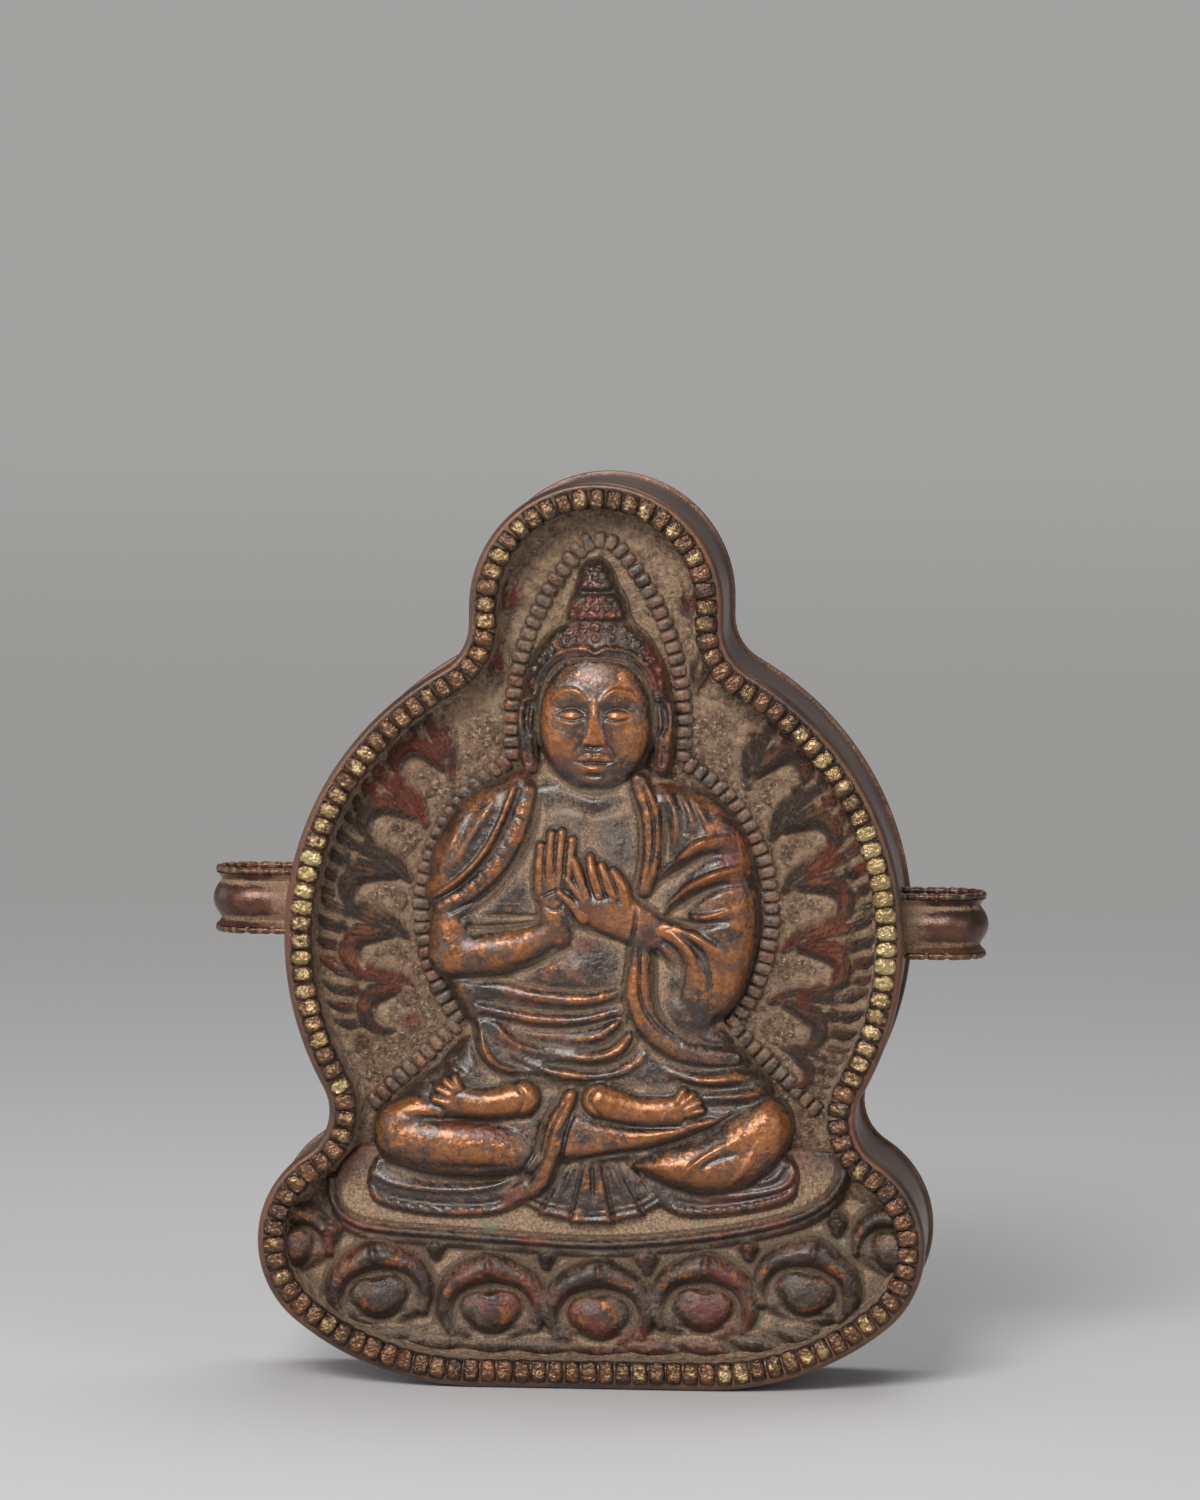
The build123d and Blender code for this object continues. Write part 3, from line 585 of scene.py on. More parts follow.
# a point of a stroke is (x, z, half width, height) in mm; a spot is (x, z, half width, half height)
figureStrokes = [
    # seat cloth
    area((-27.8, 24.2), (-26.6, 21.6), (-22.0, 20.3), (-16.0, 19.9), (-11.5, 20.4), (-8.2, 22.0), (-6.4, 24.6),
         (-8.0, 28.0), (-24.5, 28.0), (-27.2, 26.4), height=2.6, edge=1.1, soft=0.15, base=0.8),
    area((25.2, 25.2), (24.4, 22.8), (20.0, 21.2), (13.0, 20.3), (9.6, 20.8), (7.2, 22.6), (6.0, 25.6), (8.0, 28.0),
         (22.4, 28.6), (24.8, 27.4), height=2.6, edge=1.1, soft=0.15, base=0.8),
    crease((-27.2, 24.4, 0.2, 0.2), (-25.2, 22.9, 0.22, 0.45), (-21.0, 22.1, 0.22, 0.5), (-16.0, 21.8, 0.22, 0.5),
           (-12.0, 22.2, 0.22, 0.45), (-9.0, 23.6, 0.22, 0.3)),
    crease((24.6, 25.2, 0.2, 0.2), (22.8, 23.9, 0.22, 0.45), (18.6, 22.8, 0.22, 0.5), (13.4, 22.2, 0.22, 0.5),
           (10.0, 22.7, 0.22, 0.35)),
    fold((-26.9, 25.4, 0.4, 0.1), (-24.0, 24.2, 0.5, 0.5), (-18.0, 23.5, 0.5, 0.45), (-12.4, 24.0, 0.5, 0.45),
         (-9.0, 25.6, 0.4, 0.2), lean=-0.3),
    crease((-25.6, 26.6, 0.4, 0.2), (-20.0, 25.0, 0.5, 0.55), (-13.0, 25.0, 0.5, 0.55), (-8.8, 26.6, 0.4, 0.3)),
    fold((23.4, 27.6, 0.35, 0.3), (22.0, 25.6, 0.42, 0.7), (19.4, 25.0, 0.4, 0.5), (17.4, 25.6, 0.35, 0.2),
         lean=0.3),
    fold((24.6, 26.8, 0.35, 0.3), (23.6, 24.9, 0.4, 0.6), (20.6, 23.9, 0.4, 0.5), (16.0, 23.3, 0.4, 0.35),
         (11.0, 23.6, 0.35, 0.1), lean=0.3),
    crease((21.4, 27.0, 0.3, 0.3), (20.2, 26.2, 0.3, 0.5), (17.8, 26.8, 0.3, 0.2)),
    # lap
    area((-26.4, 31.6), (-24.2, 35.2), (-19.2, 39.2), (-15.8, 43.2), (-13.6, 47), (13.6, 47), (15.9, 44.2),
         (19.0, 40.4), (22.0, 36.6), (23.2, 32.0), (20, 27.5), (0, 26.5), (-22, 27.5), height=4.0, edge=4.0,
         soft=0.4),
    # pleats
    area((-3.6, 28.0), (-2.0, 28.2), (-6.4, 20.9), (-9.4, 22.2), height=2.7, edge=0.7, soft=0.05, smooth=False,
         base=1.6),
    area((2.0, 28.2), (3.6, 28.0), (8.7, 22.3), (6.2, 20.9), height=2.7, edge=0.7, soft=0.05, smooth=False,
         base=1.6),
    area((-2.6, 28.3), (-0.7, 28.3), (-2.6, 19.9), (-6.7, 20.6), height=3.1, edge=0.7, soft=0.05, smooth=False,
         base=1.8),
    area((0.7, 28.3), (2.6, 28.3), (6.5, 20.7), (2.5, 19.9), height=3.1, edge=0.7, soft=0.05, smooth=False,
         base=1.8),
    area((-1.1, 28.6), (1.0, 28.6), (2.7, 19.6), (-2.9, 19.6), height=3.6, edge=0.8, soft=0.05, smooth=False,
         base=2.0),
    crease((-8.6, 23.0, 0.16, 0.3), (-6.2, 21.9, 0.18, 0.4), (-2.7, 21.1, 0.18, 0.3)),
    crease((-2.5, 20.9, 0.16, 0.3), (-0.1, 20.7, 0.18, 0.45), (2.4, 20.9, 0.16, 0.3)),
    crease((2.6, 21.1, 0.18, 0.3), (6.0, 21.9, 0.18, 0.4), (7.9, 23.0, 0.16, 0.3)),
    crease((-8.0, 23.8, 0.14, 0.2), (-5.8, 22.6, 0.16, 0.3), (-2.7, 21.8, 0.16, 0.2)),
    crease((-2.3, 21.6, 0.14, 0.2), (-0.1, 21.4, 0.16, 0.35), (2.2, 21.6, 0.14, 0.2)),
    crease((2.5, 21.8, 0.16, 0.2), (5.6, 22.6, 0.16, 0.3), (7.4, 23.8, 0.14, 0.2)),
    fold((-4.3, 22.6, 0.3, 0.1), (-3.2, 25.0, 0.35, 0.35), (-1.9, 27.6, 0.3, 0.2), lean=0.3),
    fold((4.1, 22.6, 0.3, 0.1), (3.1, 25.0, 0.35, 0.35), (1.8, 27.6, 0.3, 0.2), lean=-0.3),
    crease((0.1, 22.2, 0.2, 0.1), (0.0, 24.6, 0.25, 0.45), (-0.1, 27.6, 0.2, 0.3)),
    # trunk
    area((-12.6, 72.8), (-16.6, 68.9), (-19.2, 63.4), (-20.3, 57.6), (-19.6, 51.8), (-17.6, 47.4), (-15.6, 44.0),
         (-12.0, 42.0), (12.0, 42.0), (15.2, 44.4), (17.4, 48.0), (18.6, 52.0), (19.0, 56.0), (18.6, 60.5),
         (17.2, 65.2), (14.6, 69.6), (12.0, 72.4), (5, 75.0), (-5, 75.0), height=3.9, edge=2.8, soft=0.4),
    limb((-0.8, 69.0, 9.0, 4.2), (-0.8, 62.0, 11.0, 4.7), (-1.4, 52, 11.0, 4.7), (-1.5, 43.5, 11.0, 4.5), soft=0.9,
         power=2.0),
    limb((-0.1, 75.5, 3.6, 4.2), (-0.2, 71.0, 4.6, 4.3), soft=0.9),
    bump(-4.6, 64.6, 4.2, 3.4, height=0.4),
    bump(3.2, 64.8, 3.6, 3.2, height=0.4),
    bump(-9.0, 60.0, 3.4, 3.6, height=0.45),
    crease((-0.4, 69.0, 0.8, 0.1), (-0.5, 65.0, 0.9, 0.3), (-0.6, 61.0, 0.8, 0.1)),
    crease((-7.4, 69.4, 0.8, 0.15), (-3.6, 70.6, 0.8, 0.25), (0, 69.6, 0.6, 0.3), (3.6, 70.6, 0.8, 0.25),
           (5.6, 69.6, 0.8, 0.15)),
    crease((-3.8, 72.9, 0.4, 0.2), (0, 72.0, 0.45, 0.35), (3.6, 72.9, 0.4, 0.2)),
    # waist cloth
    fold((-10.0, 51.6, 1.2, 0.0), (-3.0, 50.6, 1.6, 0.4), (3.0, 52.0, 1.2, 0.0)),
    crease((-13.0, 50.4, 0.4, 0.3), (-6.6, 48.9, 0.42, 0.8), (-0.8, 48.5, 0.42, 0.8), (4.0, 49.3, 0.4, 0.4),
           lean=0.3),
    fold((-13.6, 48.6, 0.8, 0.4), (-7.0, 47.4, 0.85, 0.6), (-1.2, 47.2, 0.85, 0.6), (4.0, 48.3, 0.7, 0.4),
         lean=-0.3),
    crease((-14.0, 46.9, 0.35, 0.4), (-7.2, 45.9, 0.35, 0.8), (-1.6, 45.8, 0.35, 0.8), (3.6, 47.0, 0.32, 0.4)),
    fold((-13.4, 45.8, 0.6, 0.3), (-7.0, 44.7, 0.65, 0.5), (-1.4, 44.7, 0.65, 0.5), (3.6, 46.0, 0.5, 0.3),
         lean=-0.3),
    crease((-13.4, 44.9, 0.35, 0.3), (-7.4, 43.6, 0.35, 0.7), (-2.0, 43.8, 0.35, 0.7), (3.6, 45.2, 0.3, 0.3)),
    fold((-12.0, 44.4, 0.5, 0.3), (-10.0, 42.2, 0.6, 0.75), (-6.0, 40.6, 0.5, 0.3), lean=0.35),
    crease((-10.6, 44.0, 0.4, 0.2), (-8.4, 42.2, 0.5, 0.65), (-4.0, 41.8, 0.4, 0.3)),
    fold((-3.0, 42.2, 0.5, 0.2), (1.1, 43.0, 0.55, 0.65), (4.0, 45.6, 0.45, 0.4), lean=-0.35),
    crease((-1.6, 41.0, 0.35, 0.2), (1.8, 41.8, 0.4, 0.65), (4.4, 44.6, 0.35, 0.4)),
    fold((-4.4, 40.3, 0.55, 0.3), (0.2, 40.1, 0.6, 0.65), (3.2, 41.2, 0.6, 0.7), (5.2, 44.0, 0.45, 0.4), lean=-0.3),
    crease((-5.6, 39.3, 0.35, 0.3), (0.6, 38.9, 0.4, 0.7), (4.2, 40.3, 0.4, 0.65), (5.9, 42.8, 0.35, 0.4)),
    fold((-9.4, 40.2, 0.6, 0.3), (-5.0, 38.3, 0.6, 0.6), (0.5, 37.8, 0.6, 0.6), (4.4, 38.9, 0.55, 0.5),
         (6.9, 41.2, 0.45, 0.2), lean=-0.25),
    fold((-13.8, 44.2, 0.45, 0.4), (-12.8, 40.6, 0.5, 1.0), (-10.8, 38.9, 0.5, 0.8), (-6.8, 38.4, 0.4, 0.3),
         lean=0.45),
    crease((-14.8, 43.2, 0.45, 0.4), (-14.0, 40.0, 0.5, 0.7), (-11.8, 37.9, 0.5, 0.6), (-8.0, 37.2, 0.4, 0.3)),
    fold((-17.4, 41.4, 0.55, 0.2), (-17.0, 38.8, 0.6, 0.55), (-14.4, 37.0, 0.55, 0.2), lean=0.35),
    fold((-20.6, 38.6, 0.5, 0.1), (-20.0, 36.8, 0.55, 0.4), (-18.0, 35.8, 0.5, 0.1), lean=0.35),
    crease((-9.4, 37.0, 0.55, 0.4), (-4, 36.4, 0.65, 0.8), (1.4, 36.3, 0.65, 0.8), (6, 36.9, 0.55, 0.4)),
    # sleeve end
    limb((5.8, 57.0, 1.3, 5.1), (5.6, 52.2, 1.6, 5.3), (5.4, 47.6, 1.8, 5.3), (7.0, 44.0, 1.8, 5.1),
         (9.9, 41.6, 1.6, 4.8), (13.2, 40.5, 1.3, 4.5), (17.2, 40.3, 0.8, 3.9), base=3.6, soft=0.3, power=2.2),
    crease((4.4, 56.0, 0.3, 0.3), (4.0, 51.5, 0.35, 0.6), (3.7, 47.2, 0.35, 0.6), (5.2, 43.2, 0.35, 0.6),
           (8.6, 40.2, 0.35, 0.6), (13.0, 39.0, 0.35, 0.5), (17.4, 39.2, 0.3, 0.3)),
    crease((5.7, 55.0, 0.22, 0.2), (5.6, 51.0, 0.25, 0.5), (5.8, 47.4, 0.25, 0.5), (7.6, 44.2, 0.25, 0.5),
           (10.6, 42.0, 0.22, 0.3)),
    crease((7.4, 55.8, 0.3, 0.4), (7.5, 50.5, 0.35, 0.8), (7.8, 46.6, 0.35, 0.8), (10.2, 43.5, 0.35, 0.7),
           (14.0, 42.0, 0.3, 0.5), (17.4, 41.8, 0.25, 0.2)),
    fold((9.0, 38.5, 0.45, 0.2), (13.2, 37.5, 0.55, 0.75), (17.4, 37.8, 0.5, 0.65), (20.4, 38.2, 0.4, 0.1),
         lean=-0.4),
    fold((13.6, 35.4, 0.45, 0.2), (17.6, 35.7, 0.55, 0.7), (21.4, 36.4, 0.5, 0.4), lean=-0.4),
    crease((9.4, 37.2, 0.4, 0.3), (14.0, 36.4, 0.45, 0.6), (19.0, 36.8, 0.4, 0.4)),
    crease((13.0, 34.4, 0.35, 0.2), (17.6, 34.5, 0.4, 0.5), (21.8, 35.2, 0.35, 0.3)),
    # right sleeve
    limb((8.4, 69.6, 3.8, 4.4), (12.4, 67.0, 4.9, 5.0), (14.6, 62.0, 4.7, 5.2), (14.9, 55.4, 4.7, 5.4),
         (13.2, 49.8, 5.0, 5.4), (11.6, 46.6, 3.9, 4.9), base=2.2, soft=0.6),
    limb((14.0, 51.0, 3.8, 5.4), (10.2, 54.0, 3.0, 5.5), (6.6, 56.2, 2.1, 5.5), base=2.2, soft=0.5),
    fold((7.4, 62.0, 0.5, 0.3), (10.2, 64.6, 0.6, 0.85), (12.8, 66.6, 0.6, 0.95), (16.0, 67.2, 0.5, 0.4), lean=0.5),
    crease((7.0, 60.8, 0.6, 0.5), (10.4, 63.1, 0.75, 0.95), (13.8, 64.8, 0.7, 0.7), (17, 65.2, 0.5, 0.3)),
    fold((8.2, 58.0, 0.45, 0.4), (11.2, 61.0, 0.55, 0.95), (14.6, 62.8, 0.55, 0.95), (17.8, 63.6, 0.45, 0.4),
         lean=0.45),
    crease((8.0, 57.0, 0.5, 0.5), (11.6, 59.5, 0.65, 0.9), (15.2, 61.2, 0.6, 0.6), (18.0, 61.6, 0.4, 0.2)),
    fold((6.6, 57.6, 0.4, 0.4), (9.8, 56.6, 0.5, 0.8), (12.8, 55.0, 0.55, 0.9), (15.6, 53.2, 0.45, 0.3), lean=0.45),
    fold((9.6, 55.6, 0.4, 0.3), (11.8, 53.4, 0.45, 0.75), (12.6, 50.4, 0.45, 0.3), lean=0.4),
    fold((10.6, 57.6, 0.4, 0.2), (13.4, 57.6, 0.45, 0.5), (16.4, 58.4, 0.4, 0.2), lean=0.4),
    crease((8.6, 57.2, 0.4, 0.5), (12.0, 56.6, 0.5, 0.65), (16.0, 57.0, 0.5, 0.3)),
    crease((7.0, 55.2, 0.35, 0.4), (9.6, 53.6, 0.45, 0.7), (10.8, 50.6, 0.45, 0.6), (10.4, 47.8, 0.45, 0.3)),
    crease((11.4, 54.6, 0.35, 0.2), (13.6, 52.2, 0.4, 0.5), (14.2, 49.0, 0.4, 0.2)),
    # right lapel
    limb((5.2, 73.8, 1.0, 4.7), (6.8, 69.4, 1.3, 5.1), (6.9, 64.6, 1.2, 5.2), (6.0, 60.6, 0.9, 5.1), base=4.0,
         soft=0.3, power=2.4),
    crease((5.9, 73.0, 0.2, 0.35), (7.1, 69.0, 0.22, 0.5), (7.0, 64.6, 0.22, 0.45), (6.2, 61.0, 0.2, 0.15)),
    crease((4.2, 72.4, 0.45, 0.4), (5.3, 69.0, 0.45, 0.7), (5.4, 64.6, 0.45, 0.7), (4.8, 61.0, 0.45, 0.4)),
    fold((8.4, 73.0, 0.35, 0.4), (9.8, 69.8, 0.42, 0.55), (9.6, 65.8, 0.42, 0.45), (8.4, 62.8, 0.35, 0.2),
         lean=0.3),
    crease((8.2, 70.8, 0.25, 0.3), (8.5, 67.0, 0.3, 0.6), (7.9, 63.4, 0.25, 0.3)),
    fold((10.0, 72.8, 0.3, 0.2), (11.4, 70.6, 0.35, 0.4), (12.0, 68.2, 0.3, 0.2), lean=0.3),
    fold((11.4, 72.0, 0.3, 0.2), (13.0, 69.9, 0.35, 0.4), (14.0, 67.8, 0.3, 0.15), lean=0.3),
    crease((9.6, 72.6, 0.2, 0.2), (10.8, 70.0, 0.22, 0.4), (10.9, 67.6, 0.2, 0.2)),
    crease((10.8, 72.4, 0.2, 0.2), (12.3, 70.0, 0.22, 0.4), (13.0, 68.0, 0.2, 0.2)),
    # left shoulder
    limb((-16.6, 58.6, 3.0, 4.8), (-17.2, 54.6, 2.9, 5.1), (-16.7, 52.6, 2.8, 5.1), base=2.4, soft=0.4),
    limb((-9.2, 72.2, 2.4, 4.5), (-13.0, 68.2, 4.2, 5.0), (-16.2, 63.4, 3.9, 5.2), (-18.2, 60.0, 2.4, 4.8),
         base=2.4, soft=0.5),
    limb((-8.2, 72.2, 1.2, 4.7), (-9.4, 68.0, 1.7, 5.1), (-11.6, 63.8, 1.75, 5.2), (-14.8, 60.4, 1.6, 5.2),
         (-18.4, 58.2, 1.0, 4.9), base=2.4, soft=0.15, power=3.2),
    fold((-9.9, 73.0, 0.3, 0.4), (-11.4, 68.9, 0.36, 0.75), (-13.5, 64.9, 0.36, 0.8), (-16.5, 61.7, 0.36, 0.7),
         (-19.5, 59.6, 0.3, 0.4), lean=-0.35),
    crease((-9.2, 72.6, 0.2, 0.3), (-10.7, 68.5, 0.22, 0.45), (-12.9, 64.4, 0.22, 0.45), (-15.9, 61.1, 0.22, 0.45),
           (-19.0, 59.1, 0.2, 0.2)),
    crease((-7.2, 71.6, 0.2, 0.2), (-8.1, 67.6, 0.22, 0.4), (-10.4, 63.2, 0.22, 0.4), (-13.8, 59.7, 0.22, 0.4),
           (-17.2, 57.6, 0.2, 0.2)),
    crease((-6.6, 71.2, 0.4, 0.3), (-7.3, 67.4, 0.45, 0.6), (-9.5, 62.7, 0.45, 0.7), (-12.8, 58.9, 0.4, 0.6),
           (-16.2, 56.8, 0.35, 0.4)),
    fold((-12.4, 71.0, 0.5, 0.2), (-14.6, 67.4, 0.6, 0.45), (-17.0, 63.6, 0.5, 0.2), lean=0.3),
    fold((-15.4, 69.6, 0.5, 0.1), (-17.2, 66.0, 0.55, 0.35), (-18.8, 62.0, 0.5, 0.1), lean=0.3),
    # left forearm
    limb((-17.2, 52.3, 2.9, 5.1), (-13.0, 52.6, 2.75, 5.4), (-8.0, 53.9, 2.4, 5.6), (-4.4, 56.0, 2.1, 5.6),
         base=3.4, soft=0.35),
    crease((-15.2, 55.9, 0.35, 0.5), (-12.0, 55.9, 0.35, 0.8), (-7.0, 56.5, 0.35, 0.5)),
    crease((-13.8, 57.4, 0.25, 0.3), (-10.8, 57.3, 0.28, 0.8), (-7.0, 57.3, 0.25, 0.5)),
    crease((-18.6, 49.7, 0.45, 0.4), (-13.0, 49.5, 0.5, 0.8), (-7.6, 50.9, 0.5, 0.9), (-3.0, 53.5, 0.45, 0.6)),
    # raised hand
    limb((-4.4, 55.6, 2.1, 5.6), (-4.6, 58.4, 2.3, 5.8), (-4.7, 61.4, 2.3, 5.8), base=4.5, soft=0.3),
    limb((-6.5, 59.8, 0.85, 5.5), (-6.6, 63.0, 0.72, 5.65), (-6.45, 65.8, 0.6, 5.4), base=4.6, soft=0.04),
    limb((-5.3, 60.6, 0.8, 5.8), (-5.35, 64.0, 0.74, 5.95), (-5.2, 67.3, 0.6, 5.6), base=4.6, soft=0.03),
    limb((-4.2, 60.6, 0.8, 5.8), (-4.15, 64.0, 0.74, 5.95), (-3.95, 67.5, 0.6, 5.6), base=4.6, soft=0.03),
    limb((-3.1, 60.4, 0.8, 5.8), (-2.95, 63.8, 0.74, 5.9), (-2.7, 66.6, 0.6, 5.6), base=4.6, soft=0.03),
    crease((-6.6, 59.6, 0.2, 0.1), (-4.4, 60.6, 0.22, 0.35), (-2.4, 60.2, 0.2, 0.1)),
    crease((-5.9, 58.6, 0.2, 0.1), (-4.4, 58.2, 0.22, 0.3), (-3.2, 59.6, 0.2, 0.1)),
    crease((-7.0, 57.0, 0.3, 0.1), (-6.6, 58.6, 0.3, 0.3), (-7.4, 60.4, 0.3, 0.2)),
    # turned hand
    limb((6.6, 55.6, 2.2, 5.5), (4.0, 57.0, 2.6, 5.9), (1.4, 58.2, 2.7, 6.1), (-1.0, 58.8, 2.0, 6.1), base=4.8,
         soft=0.3),
    limb((-0.8, 59.6, 0.95, 6.2), (-1.7, 62.0, 0.78, 6.25), (-2.4, 64.2, 0.6, 6.0), base=4.9, soft=0.05),
    limb((0.7, 60.1, 0.92, 6.3), (-0.1, 62.5, 0.76, 6.35), (-0.5, 64.6, 0.58, 6.0), base=4.9, soft=0.05),
    limb((2.3, 59.7, 0.98, 6.2), (1.6, 61.8, 0.82, 6.3), (0.9, 63.6, 0.6, 6.0), base=4.9, soft=0.05),
    limb((3.8, 58.7, 1.1, 6.0), (3.4, 61.0, 0.9, 6.1), (2.3, 63.0, 0.6, 5.9), base=4.9, soft=0.05),
    limb((-1.2, 57.4, 1.0, 6.1), (-2.8, 59.1, 0.75, 6.15), (-4.2, 60.3, 0.55, 6.0), base=4.9, soft=0.05),
    limb((-0.5, 58.7, 0.9, 6.15), (-2.1, 60.5, 0.7, 6.2), (-3.3, 62.0, 0.55, 6.0), base=4.9, soft=0.05),
    crease((0.2, 60.4, 0.2, 0.1), (1.6, 60.0, 0.22, 0.25), (3.2, 59.2, 0.2, 0.1)),
    crease((5.2, 58.4, 0.25, 0.2), (5.0, 56.4, 0.28, 0.4), (4.6, 54.6, 0.25, 0.2)),
    crease((-2.6, 56.0, 0.3, 0.3), (0.6, 55.2, 0.35, 0.5), (4.6, 54.0, 0.3, 0.3)),
    # legs
    limb((-23.4, 30.0, 3.3, 4.9), (-19.5, 29.4, 3.9, 5.4), (-14.5, 29.1, 3.8, 5.4), (-10.0, 28.5, 3.2, 5.0),
         (-7.8, 27.6, 2.4, 4.6), base=2.2, soft=0.4),
    limb((-24.0, 31.4, 2.6, 4.7), (-21.0, 33.2, 2.2, 4.7), (-17.0, 33.2, 1.8, 4.6), base=2.2, soft=0.4),
    area((-6.0, 27.0), (-5.2, 31), (-2.4, 34.2), (2, 33.2), (8, 33.0), (14.5, 33.6), (16.0, 32.4), (13, 30.9),
         (7.5, 28.9), (1.5, 27.4), height=5.1, edge=2.4, soft=0.2, base=2.4),
    area((4.2, 27.0), (7.6, 25.2), (10, 24.2), (14, 23.5), (19, 24.6), (22.6, 27.6), (24.1, 31.4), (23.2, 34.4),
         (20.5, 35.4), (17, 33.6), (13.4, 31.2), (8, 29.3), height=5.4, edge=3.4, soft=0.2, base=2.2),
    crease((-5.4, 27.0, 0.3, 0.4), (1.0, 28.2, 0.32, 0.8), (8.0, 29.4, 0.32, 0.9), (13.6, 31.4, 0.3, 0.8),
           (17.6, 33.8, 0.28, 0.5)),
    crease((-23.0, 33.0, 0.35, 0.1), (-18.6, 32.3, 0.4, 0.5), (-14.0, 32.3, 0.4, 0.5), (-9.4, 31.6, 0.35, 0.2)),
    crease((-20.6, 27.0, 0.3, 0.1), (-15.0, 26.6, 0.35, 0.35), (-10.0, 26.8, 0.3, 0.15)),
    crease((-25.0, 26.6, 0.35, 0.3), (-18.0, 25.3, 0.4, 0.6), (-12.0, 25.2, 0.4, 0.6), (-8.2, 26.2, 0.35, 0.4)),
    fold((10.6, 25.4, 0.35, 0.1), (12.0, 27.2, 0.42, 0.45), (14.4, 29.0, 0.38, 0.3), (17.6, 30.6, 0.3, 0.1),
         lean=0.4),
    fold((16.6, 24.8, 0.35, 0.1), (18.6, 27.2, 0.42, 0.35), (20.0, 30.0, 0.35, 0.1), lean=0.4),
    crease((13.0, 27.0, 0.3, 0.1), (15.2, 28.2, 0.35, 0.3), (18.0, 29.0, 0.3, 0.1)),
    limb((-2.6, 35.6, 1.0, 5.0), (-4.3, 31.8, 1.4, 5.1), (-5.2, 27.8, 1.55, 4.8), (-7.0, 24.6, 1.6, 3.9),
         (-10.2, 23.0, 1.0, 3.0), base=2.2, soft=0.12, power=2.4),
    crease((-3.2, 34.6, 0.18, 0.3), (-4.9, 31.4, 0.2, 0.5), (-5.9, 27.6, 0.2, 0.5), (-7.8, 24.8, 0.2, 0.4)),
    crease((-1.6, 34.8, 0.25, 0.3), (-3.0, 31.4, 0.28, 0.6), (-3.8, 28.0, 0.28, 0.6), (-5.0, 25.0, 0.25, 0.3)),
    crease((-4.0, 36.0, 0.25, 0.3), (-6.0, 32.4, 0.28, 0.6), (-7.0, 28.6, 0.28, 0.6), (-9.0, 25.6, 0.25, 0.3)),
    # feet
    limb((-16.6, 34.6, 1.95, 5.3), (-12.6, 34.4, 1.85, 5.7), (-8.5, 35.2, 2.2, 6.0), base=4.2, soft=0.2),
    crease((-9.6, 37.2, 0.2, 0.3), (-8.2, 35.4, 0.2, 0.5), (-9.0, 33.3, 0.2, 0.3)),
    crease((-17.6, 32.6, 0.35, 0.4), (-12.6, 32.4, 0.4, 0.8), (-7.6, 32.9, 0.35, 0.6)),
    limb((-17.3, 34.4, 0.68, 5.5), (-19.1, 34.9, 0.6, 5.3), base=4.2, soft=0.03),
    limb((-17.2, 35.4, 0.66, 5.5), (-18.7, 36.2, 0.56, 5.3), base=4.2, soft=0.03),
    limb((-16.8, 36.0, 0.62, 5.5), (-17.8, 37.1, 0.54, 5.3), base=4.2, soft=0.03),
    limb((-16.1, 36.3, 0.58, 5.5), (-16.7, 37.5, 0.5, 5.3), base=4.2, soft=0.03),
    limb((0.9, 35.0, 2.2, 6.0), (5.4, 33.7, 1.85, 5.6), (9.8, 33.8, 1.8, 5.4), base=4.2, soft=0.2),
    crease((0.6, 36.9, 0.2, 0.3), (-0.2, 35.0, 0.2, 0.5), (1.4, 32.9, 0.2, 0.3)),
    crease((0.4, 32.6, 0.35, 0.5), (5.4, 31.8, 0.38, 0.7), (10.8, 31.9, 0.35, 0.4)),
    limb((10.2, 34.9, 0.64, 5.4), (11.0, 36.3, 0.55, 5.3), base=4.2, soft=0.03),
    limb((10.9, 34.6, 0.62, 5.4), (12.1, 35.8, 0.54, 5.3), base=4.2, soft=0.03),
    limb((11.4, 34.1, 0.6, 5.4), (12.9, 35.0, 0.52, 5.2), base=4.2, soft=0.03),
    limb((11.6, 33.5, 0.58, 5.3), (13.3, 34.0, 0.5, 5.1), base=4.2, soft=0.03),
    # head
    area((-8.9, 82.2), (-9.1, 85.5), (-8.1, 88.6), (-6.6, 91.0), (-4.4, 93.1), (-3.7, 95.5), (-2.9, 97.6),
         (-2.2, 99.7), (-0.3, 100.7), (1.5, 99.7), (2.4, 97.6), (3.5, 95.5), (4.2, 93.1), (6.3, 91.0), (7.8, 88.3),
         (8.8, 85.5), (8.6, 82.2), (7.2, 78.5), (-7.4, 78.5), height=3.0, edge=1.6, soft=0.3),
    limb((-0.1, 82.6, 8.5, 4.4), (-0.1, 85.6, 7.9, 4.8), base=1.2, soft=0.5),
    limb((-0.1, 93.9, 3.6, 4.1), (-0.15, 94.4, 3.4, 4.1), base=1.6, soft=0.4),
    limb((-0.3, 97.6, 2.3, 3.8), (-0.3, 98.6, 1.9, 3.5), base=1.4, soft=0.4),
    crease((-4.6, 92.6, 0.4, 0.3), (0, 93.0, 0.4, 0.4), (4.6, 92.6, 0.4, 0.3)),
    crease((-3.2, 96.2, 0.35, 0.3), (0, 96.5, 0.35, 0.5), (3.0, 96.2, 0.35, 0.3)),
    # face
    dome(-0.1, 80.85, 6.75, 8.3, height=6.05, power=2.2, soft=0.1, base=3.7),
    fold((-7.5, 82.6, 0.4, 0.3), (-7.0, 86.4, 0.4, 0.5), (-4.6, 89.2, 0.4, 0.55), (-1.6, 89.8, 0.4, 0.55),
         (-0.1, 89.2, 0.36, 0.45), (1.4, 89.8, 0.4, 0.55), (4.4, 89.2, 0.4, 0.55), (6.8, 86.4, 0.4, 0.5),
         (7.3, 82.6, 0.4, 0.3)),
